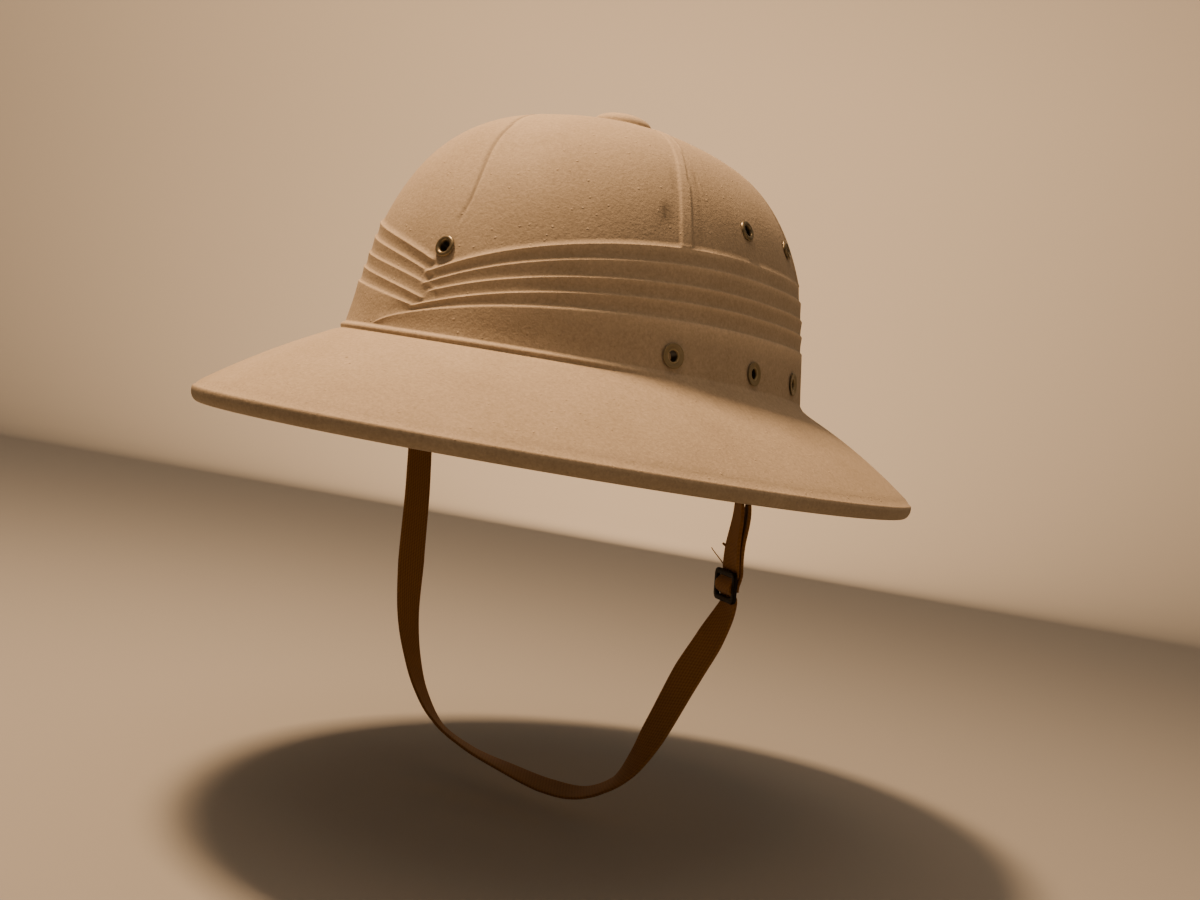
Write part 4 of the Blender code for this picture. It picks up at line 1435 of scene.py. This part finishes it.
    def build(self, places: list[tuple]) -> bpy.types.Object:
        """Make the shell.

        Args:
            places: centre, direction and diameter of each bore.

        Returns:
            The shell.
        """
        angle = self.columns()
        rows, first, last = self.grid(angle)
        top = np.array([[0.0, 0.0, self.form.height]])
        under = np.array([[0.0, 0.0, self.form.height - self.form.wall]])
        mesh = mesh_from("fibre_shell", np.concatenate(rows + [top, under]),
                         self.faces(rows, first, last))
        mesh = self.bored(mesh, places)
        self.wear_and_painted_light(mesh)
        return add_piece("fibre_shell", mesh, self.fibre, ("shell",), 62.0)


# ==============================================================================
# Eyelets and the button
# ==============================================================================

@dataclass
class Eyelets:
    """The rolled eyelets of the crown and the painted washers at its foot."""

    form: HatForm
    bronze: bpy.types.Material
    paint: bpy.types.Material
    steps: int = 40
    bore: float = 6.1
    barrel: float = 5.2
    gap: float = 0.35
    upper_height: float = 61.3
    front_height: float = 32.6
    upper_turns: tuple = (83.8, 115.8)
    base_turns: tuple = (55.2, HANGER_TURN, 111.5)
    flange_room: float = 0.25     # air and metal between a hanger and the flange behind it

    def places(self) -> list[tuple[str, float, float, bool]]:
        """Every eyelet.

        Returns:
            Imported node, angle, height, and whether it is one of the upper kind.
        """
        spots = [("front_eyelet", 0.0, self.front_height, True)]
        for side, sign in (("left", 1.0), ("right", -1.0)):
            for place, turn in zip(("middle", "rear"), self.upper_turns):
                name = f"side_eyelet_upper_{side}_{place}"
                spots.append((name, sign * turn, self.upper_height, True))
            for place, turn in zip(("front", "middle", "rear"), self.base_turns):
                name = f"base_eyelet_{side}_{place}"
                spots.append((name, sign * turn, BASE_EYELET_HEIGHT, False))
        return spots

    def bores(self) -> list[tuple[Vector, Vector, float]]:
        """Centre, direction and diameter of each eyelet's bore in the shell.

        Returns:
            One row for each eyelet.
        """
        found = []
        for _, turn, height, _ in self.places():
            centre, _, _, out = self.form.wall_frame(turn, height)
            found.append((centre, out, self.bore))
        return found

    def ring_profile(self, back: float) -> list:
        """Rolled ring like half a torus, with its barrel and back flange.

        Args:
            back: depth of the back flange behind the shell's face.

        Returns:
            Closed profile of radius and height.
        """
        centre, half = 3.17, 0.97
        profile = []
        for step in range(13):
            turn = math.pi * step / 12.0
            profile.append((centre - half * math.cos(turn), 0.44 + 0.86 * math.sin(turn)))
        barrel, hole = self.barrel / 2.0, centre - half
        return profile + [(3.95, 0.38), (barrel, self.gap)] + self.flange(back, hole, 0.1)

    def flange(self, back: float, hole: float, end: float) -> list:
        """Barrel through the wall with its flange behind, and the bore back up to end."""
        barrel = self.barrel / 2.0
        return [(barrel, -back), (barrel + 1.0, -back - 0.1), (barrel + 0.9, -back - 0.4),
                (hole + 0.3, -back - 0.72), (hole, -back - 0.5), (hole, -0.7), (hole, end)]

    def washer_profile(self, back: float) -> list:
        """Dished washer with a small rolled lip round its bore.

        Args:
            back: depth of the back flange behind the shell's face.

        Returns:
            Closed profile of radius and height.
        """
        barrel, hole, outer = self.barrel / 2.0, 2.1, 4.65
        return [
            (hole, 0.25), (hole + 0.06, 0.52), (hole + 0.22, 0.70), (hole + 0.42, 0.72),
            (hole + 0.60, 0.62), (hole + 0.85, 0.66), (hole + 1.35, 0.86), (outer - 0.42, 0.98),
            (outer - 0.16, 0.96), (outer, 0.80), (outer - 0.03, 0.62), (outer - 0.25, 0.50),
            (barrel, 0.50),
        ] + self.flange(back, hole, -0.1)

    def back_depth(self, turn: float, upper: bool) -> float:
        """Depth of the flange behind the face: the middle base ones reach past a hanger.

        Args:
            turn: angle of the eyelet, in degrees.
            upper: whether it is one of the upper kind.

        Returns:
            The depth in millimetres.
        """
        plain = self.form.wall + self.gap + 0.45
        if upper:
            return plain
        if abs(turn) == HANGER_TURN:
            relief = self.form.packed_relief(math.radians(HANGER_TURN), BASE_EYELET_HEIGHT)
            hanger = self.form.wall + relief + HANGER_GAP + HANGER_THICKNESS
            return hanger + self.gap + self.flange_room
        return plain + 0.3

    def build(self) -> list[bpy.types.Object]:
        """Make every eyelet.

        Returns:
            The eyelets.
        """
        made = []
        for name, turn, height, upper in self.places():
            centre, side, up, out = self.form.wall_frame(turn, height)
            back = self.back_depth(turn, upper)
            profile = self.ring_profile(back) if upper else self.washer_profile(back)
            mesh = turned_mesh(name + "_ring", profile, self.steps,
                               placement(centre, side, up, out))
            finish, slot = (self.bronze, Slot.BRONZE) if upper else (self.paint, Slot.PAINT)
            piece = add_piece(name + "_ring", mesh, finish, (name,), 50.0)
            self.mark_wear_and_bore_shade(mesh, profile)
            made.append(piece)
        return made

    @staticmethod
    def mark_wear_and_bore_shade(mesh: bpy.types.Mesh, profile: list) -> None:
        """Mark the lip round the bore as worn, and the bore for painted shade.

        Args:
            mesh: mesh of the eyelet.
            profile: the profile that it was turned from.
        """
        marks = []
        for index, (_, height) in enumerate(profile):
            mark = 1.2 if index < 4 else 0.35
            marks.append(-1.0 if height < -0.3 else mark - 1.0 if height < 0.2 else mark)
        mark_wear_and_painted_light(mesh, [marks[vertex.index % len(profile)] for vertex in mesh.vertices])


@dataclass
class TopButton:
    """Ventilator button: a low pressed cap on a stem through the crown's top."""

    form: HatForm
    fibre: bpy.types.Material
    steps: int = 72
    bore: float = 7.4
    cap_radius: float = 12.2
    crest: float = 7.45           # top of the cap above the crown's top
    cap_drop: float = 4.9         # how far the cap's crown falls to its edge
    drop_power: float = 1.1
    # The rolled edge, the stem and the washer inside the crown: radius and height.
    under: tuple = (
        (12.45, 2.2), (12.55, 1.75), (12.4, 1.2), (12.0, 0.8), (11.4, 0.55), (10.6, 0.48),
        (3.0, 0.48), (3.0, -2.7), (6.9, -2.7), (7.0, -2.85), (7.0, -3.4), (6.9, -3.5), (0.0, -3.5),
    )

    def place(self) -> tuple[Vector, Vector, float]:
        """Centre, direction and diameter of the bore for the stem."""
        return Vector((0.0, 0.0, self.form.height)), UP, self.bore

    def build(self) -> bpy.types.Object:
        """Make the button.

        Returns:
            The button.
        """
        cap = []
        for step in range(15):
            share = step / 14.0
            radius = self.cap_radius * math.sin(share * math.pi / 2.0)
            fall = (1.0 - math.cos(share * math.pi / 2.0)) ** self.drop_power
            cap.append((radius, self.crest - self.cap_drop * fall))
        cap += self.under
        place = Matrix.Translation((0.0, 0.0, self.form.height * MM))
        mesh = turned_mesh("button_cap", cap, self.steps, place, closed=False)
        high = (self.form.height + 5.0) * MM
        # Painted light: the top of the cap a little lighter and the rest a little darker.
        mark_wear_and_painted_light(mesh, [0.06 if v.co.z > high else -0.08 for v in mesh.vertices])
        return add_piece("button_cap", mesh, self.fibre, ("top_button",), 50.0)


# ==============================================================================
# Strap, hangers and slider
# ==============================================================================

@dataclass
class StrapHangers:
    """The plain steel tabs inside the crown, as packed."""

    form: HatForm
    steel: bpy.types.Material
    bar_low: float = 15.3         # foot of the bar below the eyelet's centre
    bar: float = 2.4              # height of the bar

    def dress(self) -> list[bpy.types.Object]:
        """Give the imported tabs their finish.

        Returns:
            The two tabs.
        """
        tabs = [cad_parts["strap_hanger_" + side] for side in ("left", "right")]
        for tab in tabs:
            tab.data.materials.clear()
            tab.data.materials.append(self.steel)
        return tabs

    def bar_frame(self, sign: float) -> tuple[Vector, Vector, Vector, Vector]:
        """Middle of a tab's bar.

        Args:
            sign: 1 for the wearer's left and -1 for the right.

        Returns:
            The point and the side, up and outward directions there.
        """
        turn = sign * HANGER_TURN
        centre, _, _, axis = self.form.wall_frame(turn, BASE_EYELET_HEIGHT)
        _, side, up, out = self.form.wall_frame(turn, BASE_EYELET_HEIGHT, relief=False)
        relief = self.form.packed_relief(math.radians(HANGER_TURN), BASE_EYELET_HEIGHT)
        depth = self.form.wall + relief + HANGER_GAP + HANGER_THICKNESS / 2.0
        return centre - axis * depth - up * (self.bar_low - self.bar / 2.0), side, up, out


@dataclass
class StrapSlider:
    """Black slider with two slots, which takes up the strap's length."""

    japan: bpy.types.Material
    centre: tuple = (84.5, 0.5, -74.0)
    turn: float = 56.0
    up_way: tuple = (-0.06, -0.10, 0.993)
    width: float = 16.9
    length: float = 12.4
    thickness: float = 1.6
    side_bar: float = 2.3
    end_bar: float = 2.3
    middle_bar: float = 1.4
    middle_thickness: float = 0.7
    corner: float = 2.4
    window_corner: float = 0.9
    rounding: float = 0.42        # radius of the frame's edges

    def axes(self) -> tuple[Vector, Vector, Vector]:
        """The slider's side, up and face directions; it faces out of the loop's front.

        Returns:
            The three directions.
        """
        up = Vector(self.up_way).normalized()
        aft = Vector((0.0, 1.0, 0.0))
        aft = (aft - up * aft.dot(up)).normalized()
        inward = up.cross(aft)
        turn = math.radians(self.turn)
        side = aft * math.cos(turn) + inward * math.sin(turn)
        return side, up, up.cross(side)

    def ring(self, width: float, length: float, corner: float, depth: float) -> list[tuple]:
        """Corner-rounded rectangle at a depth, as a loop of points.

        Args:
            width: full width.
            length: full length.
            corner: corner radius.
            depth: place along the slider's face direction.

        Returns:
            Points with an equal number on each corner.
        """
        points = []
        for quarter, (sx, sy) in enumerate(((1, 1), (-1, 1), (-1, -1), (1, -1))):
            for step in range(9):
                turn = math.pi / 2.0 * (quarter + step / 8.0)
                points.append((sx * (width / 2.0 - corner) + corner * math.cos(turn),
                               sy * (length / 2.0 - corner) + corner * math.sin(turn), depth))
        return points

    def build(self) -> bpy.types.Object:
        """Make the slider: a rounded frame with its middle bar welded in.

        Returns:
            The slider.
        """
        side, up, face = self.axes()
        place = placement(Vector(self.centre), side, up, face)
        half, soft = self.thickness / 2.0, self.rounding
        window_w, window_l = self.width - 2 * self.side_bar, self.length - 2 * self.end_bar
        # Outside from the back to the face, then the window from the face to the back.
        edge = ((soft, -half), (soft * 0.3, -half + soft * 0.3), (0.0, -half + soft),
                (0.0, half - soft), (soft * 0.3, half - soft * 0.3), (soft, half))
        rings = [self.ring(self.width - 2 * cut, self.length - 2 * cut, self.corner - cut, depth)
                 for cut, depth in edge]
        rings += [self.ring(window_w + 2 * cut, window_l + 2 * cut, self.window_corner + cut,
                            depth) for cut, depth in reversed(edge)]
        faces = strip_faces(len(rings), len(rings[0]), closed=True)
        mesh = mesh_from("strap_slider_frame", np.array([p for ring in rings for p in ring]), faces)
        joined = combined(mesh, self.bar_mesh(window_w + self.side_bar), "UNION")
        joined.transform(place)
        return add_piece("strap_slider_frame", joined, self.japan,
                         ("strap_slider",), 50.0)

    def bar_mesh(self, length: float) -> bpy.types.Mesh:
        """The round-edged middle bar, which lies at the back of the frame.

        Args:
            length: length of the bar.

        Returns:
            Its mesh, in the slider's own axes.
        """
        half, deep = self.middle_bar / 2.0, self.middle_thickness / 2.0
        sunk = -(self.thickness - self.middle_thickness) / 2.0
        outline = rounded_profile([(-half, -deep), (half, -deep), (half, deep), (-half, deep)],
                                  [0.3] * 4, 3)
        points = [(-length / 2.0, y, z + sunk) for y, z in outline]
        points += [(length / 2.0, y, z + sunk) for y, z in outline]
        count = len(outline)
        faces = strip_faces(2, count) + [tuple(range(count)), tuple(range(count, 2 * count))]
        return mesh_from("middle_bar", np.array(points), faces)


@dataclass
class ChinStrap:
    """The webbing loop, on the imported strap's own centre line."""

    hangers: StrapHangers
    slider: StrapSlider
    webbing: bpy.types.Material
    width: float = 12.7
    thickness: float = 1.3
    fold_radius: float = 2.4
    step: float = 1.5
    flat_share: float = 0.90      # thickness in the middle, as a share of the selvedge's
    selvedge: float = 1.9         # width of the fuller selvedge
    edge_inset: float = 0.55

    # Centre line: x, y, z and the turn of the width from fore-and-aft, in degrees.
    lower_run: tuple = (
        (-79.4, -3.0, -30.0, 8.0), (-76.0, -0.2, -60.0, 16.0), (-74.1, 2.3, -97.0, 24.0),
        (-71.8, 4.0, -121.0, 5.0), (-67.2, 5.3, -137.0, -8.0), (-60.0, 6.5, -151.5, -17.0),
        (-48.1, 7.4, -163.6, -24.0), (-30.0, 7.8, -169.8, -14.0), (-8.0, 7.9, -172.6, 0.0),
        (14.0, 8.1, -174.2, 12.0), (31.0, 7.9, -172.2, 15.0), (44.6, 7.4, -164.8, 24.0),
        (53.8, 6.6, -154.0, 52.0), (61.6, 5.4, -139.0, 76.0), (73.0, 3.5, -112.0, 92.0),
        (81.0, 2.2, -95.6, 82.0),
    )
    inner_run: tuple = (
        (85.5, -1.0, -58.2, 52.0), (85.6, -1.7, -43.0, 42.0), (81.6, -3.4, -24.0, 20.0),
    )
    outer_run: tuple = (
        (84.8, -3.2, -24.0, -18.0), (88.4, 0.3, -43.0, -35.0), (87.0, 0.4, -58.0, -50.0),
    )
    tail: tuple = (0.6, 0.0, -12.0)
    threading: tuple = (
        # along the strap, out of the slider's back face
        (-7.4, -1.00), (-4.4, -1.00), (-3.4, -0.62), (-2.5, 0.35), (-1.5, 1.45), (-0.6, 1.75),
        (0.6, 1.75), (1.5, 1.45), (2.5, 0.35), (3.4, -0.62), (4.4, -1.00), (7.4, -1.00),
    )
    # Loose threads by the slider: radius, then points from the strap's edge outward.
    threads: tuple = (
        (0.28, (79.9, 4.4, -66.4), (79.0, 4.0, -65.4), (77.9, 2.9, -64.0), (76.7, 1.6, -62.4),
         (75.6, 0.4, -60.8)),
        (0.75, (81.2, 3.2, -59.3), (80.1, 2.6, -58.8), (79.1, 2.1, -58.3)),
    )
    # The loose end, down behind the slider.
    end_run: tuple = ((7.4, -2.75), (4.6, -2.75), (2.6, -2.25), (0.4, -1.55), (-1.6, -1.40))

    def station(self, along: float, out: float) -> tuple[Vector, Vector]:
        """Strap point in the slider, from its place along the strap and off the frame.

        Args:
            along: place along the strap, from the slider's middle.
            out: distance out of the frame's back face.

        Returns:
            The point, and the direction of the webbing's width.
        """
        side, up, face = self.slider.axes()
        back = Vector(self.slider.centre) - face * (self.slider.thickness / 2.0)
        return back + up * along + face * out, side

    def fold(self, sign: float) -> list[tuple[Vector, Vector]]:
        """Stations up the inside of a hanger's bar, over it and down the outside.

        Args:
            sign: 1 for the wearer's left and -1 for the right.

        Returns:
            The points, each with the direction of the webbing's width.
        """
        bar, side, up, out = self.hangers.bar_frame(sign)
        points = []
        for step in range(7):
            turn = math.pi * (1.0 - step / 6.0)
            points.append(bar + (out * math.cos(turn) + up * math.sin(turn)) * self.fold_radius)
        points.insert(0, points[0] - up * 3.0)
        points.append(points[-1] - up * 3.0)
        return [(point, side * sign) for point in points]

    @staticmethod
    def run(table: tuple) -> list[tuple[Vector, Vector]]:
        """Stations of a free run.

        Args:
            table: x, y, z and turn of each station.

        Returns:
            The points, each with the direction of the webbing's width.
        """
        points = [Vector(row[:3]) for row in table]
        stations = []
        for index, point in enumerate(points):
            ahead = points[min(index + 1, len(points) - 1)] - points[max(index - 1, 0)]
            tangent = ahead.normalized()
            aft = Vector((0.0, 1.0, 0.0))
            aft = (aft - tangent * aft.dot(tangent)).normalized()
            turn = math.radians(table[index][3])
            stations.append((point, aft * math.cos(turn) + tangent.cross(aft) * math.sin(turn)))
        return stations

    def stations(self) -> list[tuple[Vector, Vector]]:
        """Every station of the centre line, end to end.

        Returns:
            The points, each with the direction of the webbing's width.
        """
        line = self.fold(-1.0)
        top, width = line[0]
        line.insert(0, (top + Vector(self.tail), width))
        line += self.run(self.lower_run)
        line += [self.station(along, out) for along, out in self.threading]
        line += self.run(self.inner_run) + self.fold(1.0) + self.run(self.outer_run)
        return line + [self.station(along, out) for along, out in self.end_run]

    @staticmethod
    def between(points: list[Vector], index: int, share: float) -> Vector:
        """Point on a centripetal Catmull-Rom curve between points index and index + 1.

        Args:
            points: points that the curve passes through.
            index: number of the point before the wanted one.
            share: share of the way to the next point.

        Returns:
            The point.
        """
        start, end = points[index], points[index + 1]
        before = points[index - 1] if index > 0 else start * 2.0 - end
        after = points[index + 2] if index + 2 < len(points) else end * 2.0 - start
        knots = [0.0]
        for one, two in ((before, start), (start, end), (end, after)):
            knots.append(knots[-1] + max(math.sqrt((two - one).length), 1e-4))
        t = knots[1] + (knots[2] - knots[1]) * share
        a1 = before.lerp(start, (t - knots[0]) / (knots[1] - knots[0]))
        a2 = start.lerp(end, (t - knots[1]) / (knots[2] - knots[1]))
        a3 = end.lerp(after, (t - knots[2]) / (knots[3] - knots[2]))
        b1 = a1.lerp(a2, (t - knots[0]) / (knots[2] - knots[0]))
        b2 = a2.lerp(a3, (t - knots[1]) / (knots[3] - knots[1]))
        return b1.lerp(b2, share)

    def line(self) -> list[tuple[Vector, Vector]]:
        """Points and width directions read from a smooth curve through the stations.

        Returns:
            The points, each with the direction of the webbing's width.
        """
        stations = self.stations()
        points = [point for point, _ in stations]
        widths = [width for _, width in stations]
        smooth = []
        for index in range(len(points) - 1):
            gap = (points[index + 1] - points[index]).length
            pieces = max(1, round(gap / self.step))
            for piece in range(pieces):
                share = piece / pieces
                smooth.append((self.between(points, index, share),
                               widths[index].lerp(widths[index + 1], share)))
        smooth.append((points[-1], widths[-1]))
        return smooth

    def section(self) -> list[tuple[float, float]]:
        """Cross-section of the webbing: flat faces and a rounded, slightly fuller selvedge.

        Returns:
            Points of the closed outline: across the webbing, then through it.
        """
        half_w, half_t = self.width / 2.0, self.thickness / 2.0
        top = []
        for step in range(13):
            x = -half_w + self.edge_inset + (self.width - 2.0 * self.edge_inset) * step / 12.0
            edge = max(0.0, (abs(x) - half_w + self.selvedge) / self.selvedge)
            top.append((x, half_t * (self.flat_share + (1.0 - self.flat_share) * edge)))
        right = [(half_w - 0.18, half_t * 0.72), (half_w, 0.0), (half_w - 0.18, -half_t * 0.72)]
        left = [(-x, y) for x, y in reversed(right)]
        return top + right + [(x, -y) for x, y in reversed(top)] + left

    def build(self) -> list[bpy.types.Object]:
        """Make the webbing and its loose threads.

        Returns:
            The strap and the threads on it.
        """
        line = self.line()
        section = self.section()
        count, last = len(section), len(line) - 1
        points, along, run = [], [], 0.0
        for index, (point, width_way) in enumerate(line):
            ahead = line[min(index + 1, last)][0] - line[max(index - 1, 0)][0]
            tangent = ahead.normalized()
            across = (width_way - tangent * width_way.dot(tangent)).normalized()
            thick = tangent.cross(across)
            if index:
                run += (point - line[index - 1][0]).length
            along.append(run)
            points += [tuple(point + across * x + thick * y) for x, y in section]
        faces = strip_faces(last + 1, count)
        faces += [tuple(range(count)), tuple(range(last * count, (last + 1) * count))]
        mesh = mesh_from("chin_strap_webbing", np.array(points), faces)
        weave = mesh.uv_layers.new(name="weave")
        for loop in mesh.loops:
            row, place = divmod(loop.vertex_index, count)
            weave.data[loop.index].uv = (section[place][0], along[row])
        strap = add_piece("chin_strap_webbing", mesh, self.webbing,
                          ("chin_strap",), 60.0)
        log.info("strap length %.0f mm", run)
        return [strap] + [self.thread(number) for number in range(len(self.threads))]

    def thread(self, number: int) -> bpy.types.Object:
        """Make one loose thread at the strap's edge, as a thin tapering tube.

        Args:
            number: which of the threads.

        Returns:
            The thread.
        """
        radius, *line = self.threads[number]
        points, sides = [], 6
        line = [Vector(point) for point in line]
        for index, point in enumerate(line):
            ahead = line[min(index + 1, len(line) - 1)] - line[max(index - 1, 0)]
            across = ahead.cross(UP).normalized()
            over = ahead.cross(across).normalized()
            thick = radius * (1.0 - 0.4 * index / (len(line) - 1))
            for side in range(sides):
                turn = 2.0 * math.pi * side / sides
                points.append(point + (across * math.cos(turn) + over * math.sin(turn)) * thick)
        faces = [tuple(range(sides)), tuple(range(len(points) - sides, len(points)))]
        faces += strip_faces(len(line), sides)
        name = f"chin_strap_thread_{number + 1}"
        mesh = mesh_from(name, np.array([tuple(point) for point in points]), faces)
        mesh.uv_layers.new(name="weave")
        return add_piece(name, mesh, self.webbing)


# ==============================================================================
# Studio
# ==============================================================================

@dataclass
class Studio:
    """Camera, floor and light."""

    paper: bpy.types.Material
    floor_height: float = -186.0
    eye: tuple = (0.3492, -0.4998, -0.0152)
    right_way: tuple = (0.81747, 0.54941, 0.17288)
    up_way: tuple = (-0.15919, -0.07296, 0.98455)
    back_way: tuple = (0.55353, -0.83236, 0.02782)
    lens: float = 43.98
    warm: str = "ffd0a0"
    sky: str = "dfe8ea"
    sky_strength: float = 0.14
    # Name, angle round the hat, elevation, distance and size in metres, watts, faces away.
    lamps: tuple = (
        ("key_lamp", -56.0, 71.0, 0.75, 0.12, 13.0, False),
        ("second_lamp", 85.0, 8.0, 2.0, 0.8, 3.6, False),
        ("ceiling_lamp", 0.0, 80.0, 1.5, 1.4, 8.0, False),
        ("backdrop_lamp", 212.0, 24.0, 1.1, 0.7, 60.0, True),
    )

    def camera(self) -> bpy.types.Object:
        """Set the camera at the photograph's viewing angle.

        Returns:
            The camera.
        """
        data = bpy.data.cameras.new("photo_camera")
        data.sensor_width = 36.0
        data.sensor_fit = "HORIZONTAL"
        data.lens = self.lens
        camera = add_object("photo_camera", data)
        axes = [Vector(way).normalized() for way in (self.right_way, self.up_way, self.back_way)]
        matrix = Matrix(axes).transposed().to_4x4()
        matrix.translation = Vector(self.eye)
        camera.matrix_world = matrix
        bpy.context.scene.camera = camera
        return camera

    def floor(self) -> bpy.types.Object:
        """Lay a round floor of paper that sweeps up far behind the hat on every side.

        Returns:
            The floor.
        """
        rows = [(0.0, 0.0)] + [(200.0 * k, 0.0) for k in range(1, 9)]
        for step in range(1, 13):
            turn = math.pi / 2.0 * step / 12.0
            rows.append((1600.0 + 900.0 * math.sin(turn), 900.0 * (1.0 - math.cos(turn))))
        rows.append((2500.0, 1500.0))
        points = [(0.0, 0.0, self.floor_height)]
        steps = 96
        for radius, rise in rows[1:]:
            for step in range(steps):
                turn = 2.0 * math.pi * step / steps
                points.append((radius * math.sin(turn), radius * math.cos(turn),
                               self.floor_height + rise))
        faces = [(0, 1 + step, 1 + (step + 1) % steps) for step in range(steps)]
        for r in range(len(rows) - 2):
            low, high = 1 + r * steps, 1 + (r + 1) * steps
            for step in range(steps):
                after = (step + 1) % steps
                faces.append((low + step, high + step, high + after, low + after))
        mesh = bpy.data.meshes.new("paper_floor")
        mesh.from_pydata((np.array(points) * MM).tolist(), [], faces)
        mesh.materials.append(self.paper)
        mesh.shade_smooth()
        floor = add_object("paper_floor", mesh)
        return floor

    def lamp(self, name: str, degrees: float, elevation: float, distance: float,
             size: float, watts: float, away: bool = False) -> bpy.types.Object:
        """Hang a square lamp that faces the hat, or away from it to wash the paper.

        Args:
            name: name of the lamp.
            degrees: angle round the hat, from its front towards the wearer's left.
            elevation: degrees above the floor.
            distance: metres from the hat.
            size: side of the lamp in metres.
            watts: its power.
            away: whether it faces away from the hat.

        Returns:
            The lamp.
        """
        data = bpy.data.lights.new(name, "AREA")
        data.shape = "SQUARE"
        data.size = size
        data.energy = watts
        data.color = linear(self.warm)[:3]
        turn, rise = math.radians(degrees), math.radians(elevation)
        way = Vector((math.cos(rise) * math.sin(turn), -math.cos(rise) * math.cos(turn),
                      math.sin(rise)))
        lamp = add_object(name, data)
        lamp.location = way * distance
        lamp.rotation_mode = "QUATERNION"
        facing = -way if away else way
        lamp.rotation_quaternion = UP.rotation_difference(facing)
        lamp.visible_camera = False
        return lamp

    def light(self) -> None:
        """Hang the warm lamps and set the dim, faintly cool light of the room.

        The key hangs high on the wearer's right and a weak one low on the left.  A broad
        one hangs overhead, and the strongest faces the paper behind the hat.
        """
        for settings in self.lamps:
            self.lamp(*settings)
        world = bpy.data.worlds.new("studio_room")
        bpy.context.scene.world = world
        world.use_nodes = True
        backdrop = world.node_tree.nodes["Background"]
        backdrop.inputs["Color"].default_value = linear(self.sky)
        backdrop.inputs["Strength"].default_value = self.sky_strength

    def build(self) -> None:
        """Set up the camera, the floor and the lamps."""
        self.camera()
        self.floor()
        self.light()


# ==============================================================================

def main() -> None:
    """Build the hat's looks in order and report each piece."""
    logging.basicConfig(level=logging.INFO, format="%(name)s: %(message)s")
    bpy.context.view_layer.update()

    form = HatForm()
    fibre = PressedFibre("painted_pressed_fibre").make()
    Studio(StudioPaper("seamless_paper").make()).build()

    eyelets = Eyelets(form, BronzedBrass("bronzed_brass").make(),
                      PaintedBrass("painted_brass").make())
    button = TopButton(form, fibre)
    pieces = [HelmetShell(form, fibre).build(eyelets.bores() + [button.place()])]
    pieces += eyelets.build()
    pieces.append(button.build())
    hangers = StrapHangers(form, PlainSteel("rolled_steel").make())
    pieces += hangers.dress()
    slider = StrapSlider(JapannedSteel("japanned_steel").make())
    pieces.append(slider.build())
    pieces += ChinStrap(hangers, slider, CottonWebbing("cotton_webbing").make()).build()
    for piece in pieces:
        log.info("%s: %d faces", piece.name, len(piece.data.polygons))


if __name__ == "__main__":
    main()
